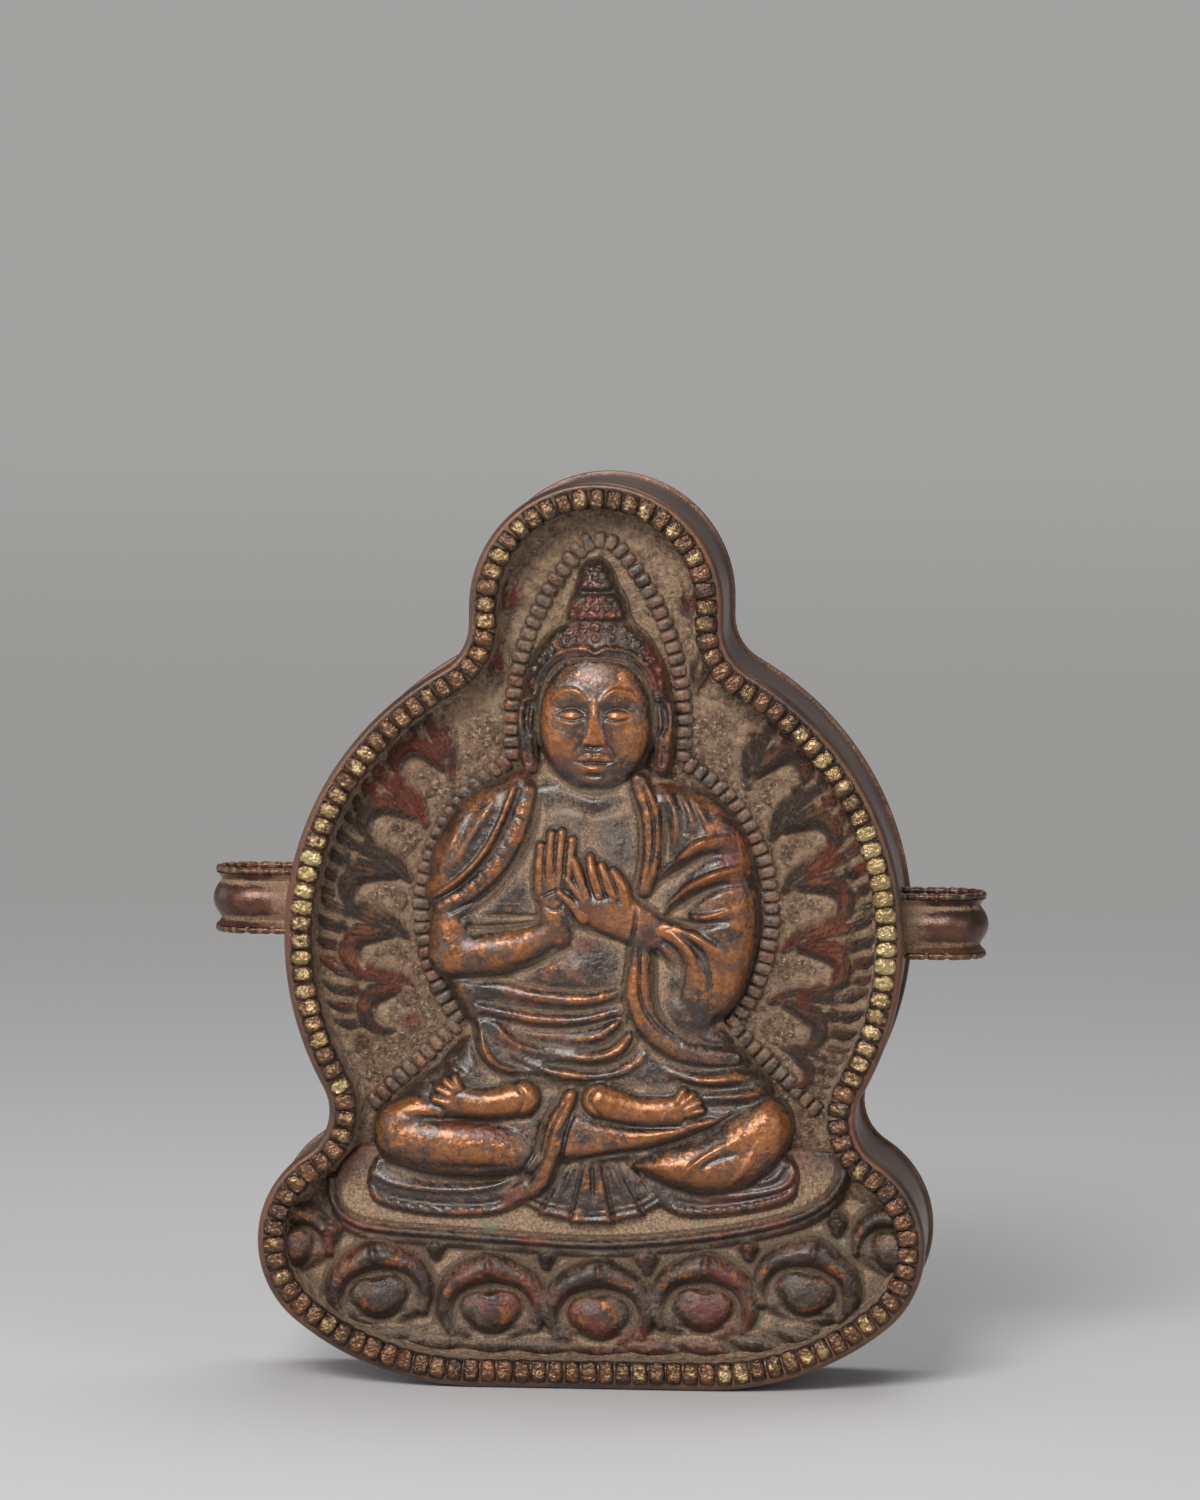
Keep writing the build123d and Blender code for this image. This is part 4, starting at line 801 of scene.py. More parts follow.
    crease((-7.0, 80.0, 0.25, 0.3), (-6.6, 84.6, 0.25, 0.5), (-4.4, 88.0, 0.25, 0.5), (-0.1, 88.6, 0.25, 0.4),
           (4.2, 88.0, 0.25, 0.5), (6.4, 84.6, 0.25, 0.5), (6.8, 80.0, 0.25, 0.3)),
    fold((-0.1, 83.9, 0.45, 0.05), (-0.1, 82.2, 0.5, 0.36), (-0.1, 80.4, 0.66, 0.56), (-0.1, 79.2, 0.85, 0.55)),
    bump(-0.1, 78.9, 0.85, 0.7, height=0.38),
    crease((-1.2, 78.0, 0.2, 0.12), (-0.1, 77.9, 0.2, 0.3), (1.0, 78.0, 0.2, 0.12)),
    crease((-0.1, 77.7, 0.2, 0.14), (-0.1, 77.1, 0.22, 0.1)),
    fold((-2.3, 76.15, 0.25, 0.05), (-0.8, 76.72, 0.3, 0.32), (-0.1, 76.58, 0.28, 0.25), (0.6, 76.72, 0.3, 0.32),
         (2.1, 76.15, 0.25, 0.05)),
    fold((-1.8, 75.55, 0.3, 0.06), (-0.1, 75.28, 0.42, 0.4), (1.6, 75.55, 0.3, 0.06)),
    crease((-2.5, 76.2, 0.13, 0.14), (-1.1, 76.02, 0.14, 0.4), (-0.1, 76.08, 0.14, 0.36), (0.9, 76.02, 0.14, 0.4),
           (2.3, 76.2, 0.13, 0.14)),
    crease((-1.4, 74.6, 0.3, 0.1), (-0.1, 74.42, 0.36, 0.24), (1.2, 74.6, 0.3, 0.1)),
    bump(-0.1, 73.7, 1.7, 0.9, height=0.2),
]
# mirrored strokes, drawn on both sides of the head
pairedStrokes = [
    # ears
    limb((8.1, 83.2, 1.3, 3.5), (8.35, 80.2, 1.35, 3.6), (8.2, 76.6, 1.05, 3.2), (8.0, 75.2, 0.9, 2.9), soft=0.2,
         base=1.6),
    fold((7.5, 83.6, 0.26, 0.4), (8.8, 83.3, 0.28, 0.6), (9.2, 80.6, 0.28, 0.55), (8.7, 77.6, 0.28, 0.45)),
    crease((8.2, 82.6, 0.3, 0.6), (8.45, 80.8, 0.3, 0.75), (8.0, 79.2, 0.26, 0.4)),
    fold((7.7, 82.2, 0.2, 0.2), (7.9, 80.6, 0.22, 0.35), (7.6, 79.2, 0.2, 0.2)),
    crease((8.25, 77.8, 0.2, 0.5), (8.1, 75.8, 0.2, 0.65)),
    # features
    fold((0.8, 83.5, 0.3, 0.12), (2.3, 84.75, 0.34, 0.3), (4.0, 84.6, 0.32, 0.26), (5.5, 83.3, 0.28, 0.06)),
    bump(2.8, 82.5, 2.2, 1.2, height=-0.42),
    bump(1.3, 81.9, 0.7, 1.1, height=-0.2),
    bump(2.8, 81.75, 1.6, 0.9, height=0.5),
    fold((1.2, 81.75, 0.14, 0.05), (2.1, 82.1, 0.16, 0.16), (3.2, 82.1, 0.16, 0.16), (4.5, 81.7, 0.14, 0.05)),
    crease((1.2, 82.05, 0.12, 0.05), (2.2, 82.6, 0.14, 0.22), (3.3, 82.6, 0.14, 0.22), (4.5, 82.05, 0.12, 0.05)),
    crease((1.15, 81.5, 0.12, 0.1), (2.0, 81.28, 0.13, 0.34), (2.8, 81.18, 0.13, 0.38), (3.6, 81.3, 0.13, 0.34),
           (4.55, 81.65, 0.12, 0.1)),
    fold((1.6, 80.95, 0.16, 0.05), (2.8, 80.7, 0.2, 0.16), (4.0, 81.0, 0.16, 0.05)),
    bump(3.9, 78.4, 2.2, 2.0, height=0.22),
    bump(1.05, 78.6, 0.55, 0.5, height=0.34),
    crease((1.5, 79.2, 0.2, 0.12), (1.75, 78.3, 0.22, 0.2), (2.7, 76.9, 0.25, 0.08)),
    bump(0.55, 78.05, 0.32, 0.22, height=-0.22),
]
# rows of curls from left to right: (x, z) along the row, how many, their radius and relief
curlRows = [
    ([(-6.9, 88.3), (-4.4, 90.5), (-0.1, 91.0), (4.2, 90.5), (6.6, 88.3)], 11, 0.72, 0.6),
    ([(-5.6, 90.8), (-3.4, 91.9), (-0.1, 92.2), (3.2, 91.9), (5.3, 90.8)], 9, 0.66, 0.55),
    ([(-8.1, 87.3), (-8.3, 85.6), (-8.1, 84.0)], 3, 0.62, 0.5),
    ([(7.9, 87.3), (8.1, 85.6), (7.9, 84.0)], 3, 0.62, 0.5),
    ([(-3.2, 93.8), (-0.1, 93.5), (3.0, 93.8)], 6, 0.62, 0.6),
    ([(-2.7, 94.9), (-0.1, 94.7), (2.5, 94.9)], 5, 0.62, 0.6),
    ([(-2.2, 95.9), (-0.1, 95.8), (2.0, 95.9)], 4, 0.58, 0.55),
    ([(-1.9, 97.3), (-0.3, 97.1), (1.3, 97.3)], 4, 0.56, 0.55),
    ([(-1.5, 98.4), (-0.3, 98.2), (0.9, 98.4)], 3, 0.56, 0.55),
    ([(-0.8, 99.4), (0.2, 99.4)], 2, 0.54, 0.5),
]
# the worked border of the shoulder cloth and of the seat cloth, as rows of curls
borderRows = [
    ([(-8.6, 70.8), (-9.6, 67.4), (-11.8, 63.9), (-14.9, 60.6), (-17.8, 58.8)], 13, 0.62, 0.3),
    ([(-26.0, 22.3), (-21.5, 21.1), (-16.0, 20.8), (-11.6, 21.2), (-9.0, 22.4)], 14, 0.6, 0.4),
    ([(23.4, 23.4), (18.8, 22.0), (13.4, 21.3), (10.2, 21.6)], 11, 0.6, 0.4),
]
# dusty places as (x, z, half width, half height, dust): chest, belly and hair, then legs and hem, which are rubbed
figureDust = [(0.5, 70.0, 11, 8, 0.2), (0, 48.0, 13, 6, 0.15), (0, 92, 7, 9, 0.25),
              (-15, 31.5, 10, 4.5, -0.6), (13, 31.5, 12, 5, -0.6), (0, 22.5, 24, 4, -0.4)]
figureGrid = {"low": (-29.2, 17.6), "high": (28.2, 101.6), "pitch": 0.125, "top": 6.4, "headMiddle": -0.1,
              "dustBelow": 5.0, "seed": 3, "sway": 0.08, "spread": (0.9, 1.1), "columns": [(-8, 8)],
              "rows": [(54.5, 68.5), (72, 102)]}


def sculptFigure(s):
    r = Relief(s["low"], s["high"], s["pitch"])
    draw(r, figureStrokes, lambda p: p[:2])
    for stroke in pairedStrokes:
        for side in (-1, 1):
            draw(r, [stroke], lambda p: (side * p[0] + s["headMiddle"], p[1]))
    rng = np.random.default_rng(s["seed"])
    for line, count, size, height in curlRows + borderRows:
        path = smoothPath(line)
        steps = np.arange(len(path))
        for k in np.linspace(0, len(path) - 1, count):
            x, z = (np.interp(k, steps, path[:, c]) + rng.uniform(-s["sway"], s["sway"]) for c in (0, 1))
            radius = size * rng.uniform(*s["spread"])
            r.curl((x, z, radius, radius), height, rng.uniform(0, 360))
    r.h = np.minimum(r.h, s["top"])
    for x, z, wide, tall, much in figureDust:
        spot = np.exp(-(((r.x - x) / wide) ** 2) - ((r.z - z) / tall) ** 2)
        r.settled += much * spot * ((r.h < s["dustBelow"]) | (much < 0))
    return r


# main petals as (x, z of the boss, turn in degrees, scale), buds as (x, z, scale), low petals as (x, z, turn);
# lip is the seat's front edge
lotusPetals = {
    "main": [(-37.2, 16.6, 22, 0.86), (-26.0, 11.2, 8, 0.98), (-12.3, 9.7, 3, 1.02), (0.8, 9.2, 0, 1.04),
             (13.5, 10.3, -4, 1.0), (26.0, 12.4, -12, 0.98), (37.0, 17.4, -24, 0.86)],
    "buds": [(-31.7, 18.4, 1.1), (-19.2, 16.5, 1.1), (-5.7, 15.5, 1.1), (6.5, 15.6, 1.45), (18.9, 17.1, 1.2),
             (29.6, 20.3, 1.2)],
    "low": [(-31.0, 7.3, 18), (-25.0, 5.6, 10), (-18.8, 5.0, 6), (-12.4, 4.7, 3), (-6.0, 4.6, 2), (0.4, 4.6, 0),
            (6.8, 4.7, -2), (13.2, 4.9, -4), (19.6, 5.4, -7), (25.6, 6.2, -12), (31.4, 8.2, -20)],
    "lip": [(-31.9, 24.6), (-31.4, 21.7), (-29.6, 19.7), (-26.1, 18.7), (-17.8, 18.1), (-7.4, 17.5), (0.9, 17.2),
            (9.2, 17.8), (17.5, 19.0), (25.0, 21.0), (28.9, 23.6), (30.4, 26.4), (29.6, 28.6)],
}
# one low petal around its middle, and one main petal around its boss, tip up
lowPetal = [
    limb((-3.6, 0.2, 0.5, 1.0), (-1.8, 0.3, 1.2, 1.6), (0.6, 0.1, 1.5, 1.8), (3.6, -0.4, 0.4, 1.0),
         soft=0.1, base=0.7),
    crease((-3.0, 0.6, 0.2, 0.1), (0, 0.7, 0.25, 0.3), (2.8, 0.2, 0.2, 0.1)),
]
petalStrokes = [
    area((-6.4, -2.0), (-6.6, 0.8), (-5.3, 3.3), (-2.6, 4.8), (0, 6.2), (2.6, 4.8), (5.3, 3.3), (6.6, 0.8),
         (6.4, -2.0), (3.6, -4.4), (-3.6, -4.4), height=1.8, edge=1.8, soft=0.3),
    limb((-5.0, -3.2, 0.6, 1.9), (-5.6, -0.4, 1.1, 2.5), (-4.6, 2.1, 1.45, 2.9), (-2.5, 3.5, 1.65, 3.2),
         (0, 4.3, 1.75, 3.4), (2.5, 3.5, 1.65, 3.2), (4.6, 2.1, 1.45, 2.9), (5.6, -0.4, 1.1, 2.5),
         (5.0, -3.2, 0.6, 1.9), base=1.4, soft=0.3, power=1.8),
    fold((-1.8, 5.0, 0.35, 0.0), (0, 6.1, 0.4, 0.5), (1.8, 5.0, 0.35, 0.0)),
    fold((-0.1, 5.6, 0.35, 0.35), (0, 4.2, 0.4, 0.35), (0, 3.0, 0.35, 0.0)),
    crease((-4.6, -2.4, 0.45, 0.2), (-4.3, 0.0, 0.5, 0.6), (-3.0, 1.7, 0.5, 0.8), (0, 2.3, 0.5, 0.9),
           (3.0, 1.7, 0.5, 0.8), (4.3, 0.0, 0.5, 0.6), (4.6, -2.4, 0.45, 0.2)),
    dome(-0.5, -0.6, 3.3, 2.3, height=3.0, power=3.0, soft=0.3, base=1.2, turn=-10),
    dome(0.5, -0.6, 3.3, 2.3, height=3.0, power=3.0, soft=0.8, base=1.2, turn=10),
    dome(0, -1.5, 2.5, 2.1, height=2.9, power=3.0, soft=0.8, base=1.2),
    crease((-0.1, 1.9, 0.3, 0.12), (0, 1.2, 0.3, 0.07), (0, 0.6, 0.3, 0.0)),
    fold((-3.2, 0.4, 0.3, 0.1), (-1.7, 1.4, 0.32, 0.22), (0, 1.0, 0.32, 0.12), (1.7, 1.4, 0.32, 0.22),
         (3.2, 0.4, 0.3, 0.1)),
    crease((-2.6, -3.1, 0.4, 0.3), (0, -3.7, 0.4, 0.4), (2.6, -3.1, 0.4, 0.3)),
]
lotusGrid = {"low": (-38.2, 2.6), "high": (38.2, 30.2), "pitch": 0.2, "seed": 2, "spread": (0.9, 1.1),
             "slope": 0.75, "slopeEnds": (17, 24), "seatDust": 0.75, "seatAbove": 1.2}
seatBack = [(25, 29.2), (0, 29.6), (-25, 29.2), (-30, 27.6)]  # closes the seat's outline behind its lip
seatHatch = {"count": 14, "first": 18.0, "pitch": 0.95, "top": 30.0, "foot": 22.0, "lean": (-0.2, 2.6),
             "wide": 0.13, "deep": 0.14}


def sculptLotus(s):
    r = Relief(s["low"], s["high"], s["pitch"])
    r.h[:] = s["slope"] * (1 - ease(r.z, *s["slopeEnds"])) - 0.05
    rng = np.random.default_rng(s["seed"])
    lip = lotusPetals["lip"]
    for x, z, turn in lotusPetals["low"]:
        wide = rng.uniform(*s["spread"])
        draw(r, lowPetal, turner(x, z, turn, wide), wide)
    r.area([(-31.6, 25.0)] + lip[1:] + seatBack, height=1.5, edge=0.5, soft=0.1)
    r.settled = s["seatDust"] * blur((r.h > s["seatAbove"]) * 1.0, 0.5 / s["pitch"])
    r.limb([(x, z - 0.9, 0.7, 1.7) for x, z in lip[1:-1]], soft=0.2, base=0.7)  # the step under the lip
    for x, z, turn, size in sorted(lotusPetals["main"], key=lambda p: -abs(p[0])):
        draw(r, petalStrokes, turner(x, z, turn, size), size, turn=turn)
    for x, z, size in lotusPetals["buds"]:
        stem = [(x - 0.1, z + 0.7 * size, 0.5 * size, 1.9), (x, z, 1.0 * size, 2.5),
                (x, z - 0.9 * size, 0.6 * size, 2.0)]
        r.limb(stem, soft=0.1, base=0.9)
        collar = [(x - 1.3 * size, z - 0.1, 0.25, 0.2), (x, z + 0.35 * size, 0.25, 0.35),
                  (x + 1.3 * size, z - 0.1, 0.25, 0.2)]
        r.fold(collar)
    r.limb([(x, z, 0.62, 2.6) for x, z in lip], soft=0.1, base=1.2)
    r.crease([(x, z + 0.75, 0.2, 0.25) for x, z in lip])
    cut = (seatHatch["wide"], seatHatch["deep"])
    for k in range(seatHatch["count"]):  # punched hatching on the seat at the right
        for sign in (-1, 1):
            top, foot = (seatHatch["first"] + k * seatHatch["pitch"] + sign * lean for lean in seatHatch["lean"])
            r.crease([(top, seatHatch["top"]) + cut, (foot, seatHatch["foot"]) + cut], hold=s["seatAbove"])
    return r


ribRow = {"pitch": 1.48, "seat": -6.5, "wide": 1.18, "long": 0.74, "high": 1.15, "square": 0.42, "seed": 5,
          "sway": 0.05, "spread": ((0.9, 1.05), (0.88, 1.0), (0.85, 1.0)), "radius": 21.3, "centre": (0, 57.5),
          "foot": (26.8, 34.1), "head": 10.5, "archHeight": 80.0, "top": 102.7, "tipRadius": 3.2, "waistDrop": 13.5,
          "step": 0.3}


def mandorlaLine(m):  # from the left foot over the head to the right foot
    lowAngle, highAngle = -math.asin(m["waistDrop"] / m["radius"]), math.acos(m["head"] / m["radius"])
    tip = (0, m["top"] - m["tipRadius"])
    rise, inner = tip[1] - m["archHeight"], m["head"] - m["tipRadius"]
    offset = (rise**2 - inner**2) / (2 * inner)
    arch = (-offset, m["archHeight"])
    archEnd = aim(arch, tip)
    c, r, step = m["centre"], m["radius"], m["step"]
    at = lambda a: (c[0] + r * math.cos(a), c[1] + r * math.sin(a))
    half = np.vstack([
        walkLine(m["foot"], at(lowAngle), (1, 0), step),
        walkArc(c, r, lowAngle, highAngle, False, step),
        walkLine(at(highAngle), (m["head"], m["archHeight"]), (1, 0), step),
        walkArc(arch, m["head"] + offset, 0, archEnd, False, step),
        walkArc(tip, m["tipRadius"], archEnd, math.pi / 2, False, step),
    ])[:, :2]
    return np.vstack([half * (-1, 1), [[0, m["top"]]], half[::-1]])


# flame unit: outward is +x, upward along the ring is +z, the fan's middle is the origin
flameStrokes = [
    dome(-1.9, -3.2, 1.9, 1.8, height=0.5, power=4.0, soft=0.3),
    bump(-1.9, -3.2, 1.2, 1.1, height=-0.3, hold=-9),
    limb((0.6, 2.2, 1.0, 0.7), (3.4, 3.2, 1.2, 1.1), (5.6, 4.9, 0.85, 0.9), (7.0, 6.4, 0.35, 0.4), soft=0.5,
         base=-0.3, power=1.6),
    limb((1.8, 0.9, 1.0, 0.7), (4.4, 1.3, 1.2, 1.1), (6.6, 2.7, 0.85, 0.9), (7.8, 4.1, 0.35, 0.4), soft=0.4,
         base=-0.3, power=1.6),
    limb((2.0, -0.9, 0.9, 0.7), (4.5, -0.8, 1.15, 1.1), (6.8, 0.2, 0.85, 0.9), (8.0, 1.6, 0.35, 0.4), soft=0.4,
         base=-0.3, power=1.6),
    limb((2.2, -2.8, 0.8, 0.6), (4.4, -2.9, 1.05, 1.0), (6.5, -2.1, 0.75, 0.8), (7.7, -0.9, 0.35, 0.4), soft=0.4,
         base=-0.3, power=1.6),
    limb((-3.9, -0.5, 0.6, 0.7), (-2.2, 1.1, 1.25, 1.3), (-0.4, 1.9, 1.7, 1.65), (1.2, 2.0, 1.5, 1.45), soft=0.5,
         base=-0.3, power=1.9),
    limb((-2.0, 0.0, 0.9, 1.2), (0.0, 0.3, 1.5, 1.7), (2.0, 0.0, 1.5, 1.6), soft=0.5, base=-0.3, power=1.9),
    limb((1.3, -0.1, 1.2, 1.5), (2.6, -1.4, 1.3, 1.7), (2.5, -3.1, 1.15, 1.6), (1.2, -4.5, 0.85, 1.2),
         (-0.2, -4.9, 0.4, 0.7), soft=0.4, base=-0.3, power=1.9),
    dome(0.6, 3.2, 1.15, 0.95, height=1.5, power=2.2, soft=0.4, base=-0.2),
    dome(2.2, 2.4, 1.2, 1.0, height=1.6, power=2.2, soft=0.4, base=-0.2),
    dome(3.2, 0.9, 1.15, 1.05, height=1.6, power=2.2, soft=0.4, base=-0.2),
]
# lines chased into each flame, with the spread of their depth; at fullRise its domes have the heights above
combLines = {
    "wide": 0.17, "deep": 0.26, "fullRise": 1.2, "spread": (0.7, 1.2),
    "paths": [[(-3.6, 0.1), (-2.2, 1.9), (-0.6, 3.0), (0.5, 3.9)],
              [(-3.4, -0.1), (-1.8, 1.4), (-0.2, 2.4), (1.3, 3.4)],
              [(-3.2, -0.3), (-1.4, 1.0), (0.4, 1.9), (2.1, 2.9)],
              [(-3.0, -0.4), (-1.0, 0.5), (0.9, 1.2), (2.9, 2.2)],
              [(-2.4, -0.4), (-0.4, 0.2), (1.5, 0.6), (3.6, 1.4)],
              [(-1.6, -0.4), (0.3, -0.2), (2.0, -0.1), (3.6, 0.3)],
              [(1.2, -0.5), (2.2, -1.5), (2.0, -3.0), (0.8, -4.3)],
              [(2.0, -0.4), (3.0, -1.6), (2.7, -3.3), (1.3, -4.8)],
              [(1.8, -0.8), (2.6, -1.6), (2.4, -3.1), (1.1, -4.5)], [(2.4, 2.6), (4.2, 3.5), (6.4, 5.7)],
              [(2.9, 3.2), (4.6, 4.3), (6.6, 6.2)], [(3.6, 1.0), (5.2, 1.7), (7.3, 3.6)],
              [(3.5, 1.7), (5.2, 2.4), (7.2, 4.0)], [(3.6, -0.9), (5.4, -0.5), (7.5, 1.0)],
              [(3.5, -0.4), (5.3, 0.0), (7.4, 1.5)], [(3.6, -2.9), (5.3, -2.7), (7.2, -1.4)]],
}
# flame places: (x, z of the fan, side, turn, size, relief)
flamePlaces = [(20.9, 76.4, 1, 42, 1.08, 1.2), (25.0, 69.2, 1, 22, 1.12, 1.25), (27.1, 61.5, 1, 5, 1.14, 1.25),
               (27.2, 53.5, 1, -6, 1.12, 1.25), (25.3, 46.0, 1, -22, 1.06, 1.15), (-20.4, 76.6, -1, 42, 1.03, 1.1),
               (-24.6, 70.0, -1, 22, 1.08, 1.2), (-27.1, 62.3, -1, 5, 1.12, 1.25), (-27.4, 54.7, -1, -4, 1.1, 1.25),
               (-25.9, 47.6, -1, -14, 1.0, 1.15), (12.9, 86.8, 1, 62, 0.66, 1.0), (-13.2, 87.6, -1, 62, 0.66, 1.0),
               (11.6, 95.2, 1, 84, 0.58, 0.95), (-11.6, 95.4, -1, 84, 0.58, 0.95), (25.2, 39.9, 1, -40, 0.76, 0.9)]
# hand-beaten ground: (size of the unevenness, its depth); ridge is what the ribs stand on, as half width and height
groundGrid = {"low": (-40, 0.6), "high": (40, 109.4), "pitch": 0.2, "seed": 7, "ridge": (1.35, 0.3),
              "archDust": (74, 86), "beaten": ((5.0, 0.16), (2.2, 0.12), (1.0, 0.1), (0.5, 0.04)), "anyHeight": -9}
groundBosses = [(-22.9, 47.0, 1.5), (-22.2, 43.9, 1.55), (-28.2, 41.6, 1.35)]  # loose bosses at the lower left


def sculptGround(s):
    r = Relief(s["low"], s["high"], s["pitch"])
    r.h[:] = 0.0
    rng = np.random.default_rng(s["seed"])
    for scale, deep in s["beaten"]:
        rough = blur(rng.normal(0, 1, r.h.shape), scale / s["pitch"] / 1.7)
        r.h += deep * rough / rough.std()
    # extra dust under the head arch, which also paints light into the arch's shadow
    r.settled = ease(r.z, *s["archDust"])
    r.limb([(x, z) + s["ridge"] for x, z in mandorlaLine(ribRow)[::12]], soft=0.3, base=-0.2)
    for x, z, side, turn, size, rise in flamePlaces:
        put = turner(x, z, turn, size, side)
        draw(r, flameStrokes, put, size, rise, rise / combLines["fullRise"])
        for path in combLines["paths"]:
            taper = np.sin(np.linspace(0.4, math.pi - 0.4, len(path)))
            deep = taper * combLines["deep"] * rise * rng.uniform(*combLines["spread"])
            r.crease([put(p) + (combLines["wide"], d) for p, d in zip(path, deep)], hold=s["anyHeight"])
    for x, z, size in groundBosses:
        r.dome((x, z, size, size), height=0.9, power=2.2, soft=0.25, base=-0.2)
        r.bump((x + 0.2, z - 0.1, size * 0.5, size * 0.45), height=-0.2, hold=s["anyHeight"])
    return r


def freshStart():
    if bpy.context.object and bpy.context.object.mode != "OBJECT":
        bpy.ops.object.mode_set(mode="OBJECT")
    bpy.ops.object.select_all(action="DESELECT")


def named(name):
    piece = bpy.context.object
    piece.name = piece.data.name = name
    return piece


def joinPieces(parts, name):
    freshStart()
    for part in parts:
        part.select_set(True)
    bpy.context.view_layer.objects.active = parts[0]
    bpy.ops.object.join()
    return named(name)


def paint(piece, name, values):  # a value for each point of the mesh
    layer = piece.data.attributes.get(name) or piece.data.attributes.new(name, "FLOAT", "POINT")
    layer.data.foreach_set("value", np.ascontiguousarray(values, dtype=np.float32))


def paintAll(piece, name, value):
    paint(piece, name, np.full(len(piece.data.vertices), value))


def paintedOn(piece, name, kind=np.float32):
    values = np.empty(len(piece.data.vertices), kind)
    piece.data.attributes[name].data.foreach_get("value", values)
    return values


def marks(piece, name):  # a whole number kept at each point while modelling, then dropped
    values = paintedOn(piece, name, np.int32)
    piece.data.attributes.remove(piece.data.attributes[name])
    return values


def pointsOf(piece):
    flat = np.empty(len(piece.data.vertices) * 3)
    piece.data.vertices.foreach_get("co", flat)
    return flat.reshape(-1, 3)


def dress(piece, finish, slot, body, *nodes, smooth=None):
    freshStart()
    piece.select_set(True)
    bpy.context.view_layer.objects.active = piece
    if smooth is None:
        bpy.ops.object.shade_smooth()
    else:
        bpy.ops.object.shade_smooth_by_angle(angle=math.radians(smooth))
    piece.data.materials.clear()
    piece.data.materials.append(finishes[finish])
    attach(piece, body)
    if nodes:
        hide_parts(*nodes)
    print("piece:", piece.name, len(piece.data.polygons), "faces")
    return piece


# a circle extruded from loop to loop; rows of x, y, z in mm
def sweepLoops(name, loops, joined=False, capped=False):
    freshStart()
    bpy.ops.mesh.primitive_circle_add(vertices=len(loops[0]), radius=0.01)
    piece = named(name)
    bpy.ops.object.mode_set(mode="EDIT")
    bpy.ops.mesh.select_mode(type="EDGE")
    bpy.ops.mesh.select_all(action="SELECT")
    bm = bmesh.from_edit_mesh(piece.data)
    bm.verts.layers.int.new("station")
    bm.verts.layers.int.new("row")
    station = bm.verts.layers.int["station"]
    bm.verts.ensure_lookup_table()
    for k, vert in enumerate(bm.verts):
        vert[station] = k
        vert.co = Vector(loops[0][k]) * mm
    if capped:
        bpy.ops.mesh.edge_face_add()
    for index, loop in enumerate(loops[1:], 1):
        bpy.ops.mesh.extrude_edges_move()
        bm = bmesh.from_edit_mesh(piece.data)
        station, row = bm.verts.layers.int["station"], bm.verts.layers.int["row"]
        for vert in bm.verts:
            if vert.select:
                vert.co = Vector(loop[vert[station]]) * mm
                vert[row] = index
    if capped:
        bpy.ops.mesh.edge_face_add()
    bmesh.update_edit_mesh(piece.data)
    bpy.ops.mesh.select_all(action="SELECT")
    if joined:
        bpy.ops.mesh.remove_doubles(threshold=1e-6)
    bpy.ops.mesh.normals_make_consistent(inside=False)
    bpy.ops.object.mode_set(mode="OBJECT")
    return piece


def ringLoops(profile):  # loops around the case for a profile of (inset, y)
    rows = []
    for inset, y in profile:
        line = outline(inset)
        rows.append(np.column_stack([line[:, 0], np.full(len(line), y), line[:, 1]]))
    return rows


def paintRows(piece, **layers):  # a value for each step of a swept profile
    row = marks(piece, "row")
    marks(piece, "station")
    for name, values in layers.items():
        paint(piece, name, np.asarray(values, float)[row])


def settleEdge(x, z, h):  # brings the first points outside onto the line where the height is nought
    inside = h > 0
    total = np.zeros(h.shape)
    newX, newZ = np.zeros(h.shape), np.zeros(h.shape)
    for shift in [(a, b) for a in (-1, 0, 1) for b in (-1, 0, 1) if a or b]:
        nearX, nearZ, nearH, nearIn = (np.roll(v, shift, (0, 1)) for v in (x, z, h, inside))
        use = nearIn & ~inside
        t = np.where(use, nearH / np.maximum(nearH - h, 1e-6), 0)
        newX += np.where(use, nearX + t * (x - nearX), 0)
        newZ += np.where(use, nearZ + t * (z - nearZ), 0)
        total += use
    move, count = total > 0, np.maximum(total, 1)
    return np.where(move, newX / count, x), np.where(move, newZ / count, z), np.maximum(h, 0)


# what wear, dust and painted shade are painted from: a point's rise over what lies within a reach in mm, and the
# rise that counts as full; slope and steep set how far a face turns upward, which the finishes use for painted
# shade on downward faces
wearReach = {"fine": (0.35, 0.14), "near": (1.1, 0.8), "far": (2.8, 2.2), "soften": 0.2, "slope": 0.3, "steep": 1.1}


def wearOf(relief, w):
    top = np.maximum(relief.h, 0)
    around = lambda values, reach: blur(values, reach / relief.pitch)
    rise = lambda reach, full: (top - around(top, reach)) / full
    wide = np.clip(rise(*w["near"]) + rise(*w["far"]), -1, 1)
    # slope gives how far a face turns upward, for painted shade on downward faces
    slope = np.gradient(around(top, w["slope"]), relief.pitch, axis=0)
    return {"fine": np.clip(rise(*w["fine"]), -1, 1), "wide": around(wide, w["soften"]) - relief.settled,
            "upper": np.clip(-w["steep"] * slope, -1, 1), "height": top / max(1.0, top.max())}


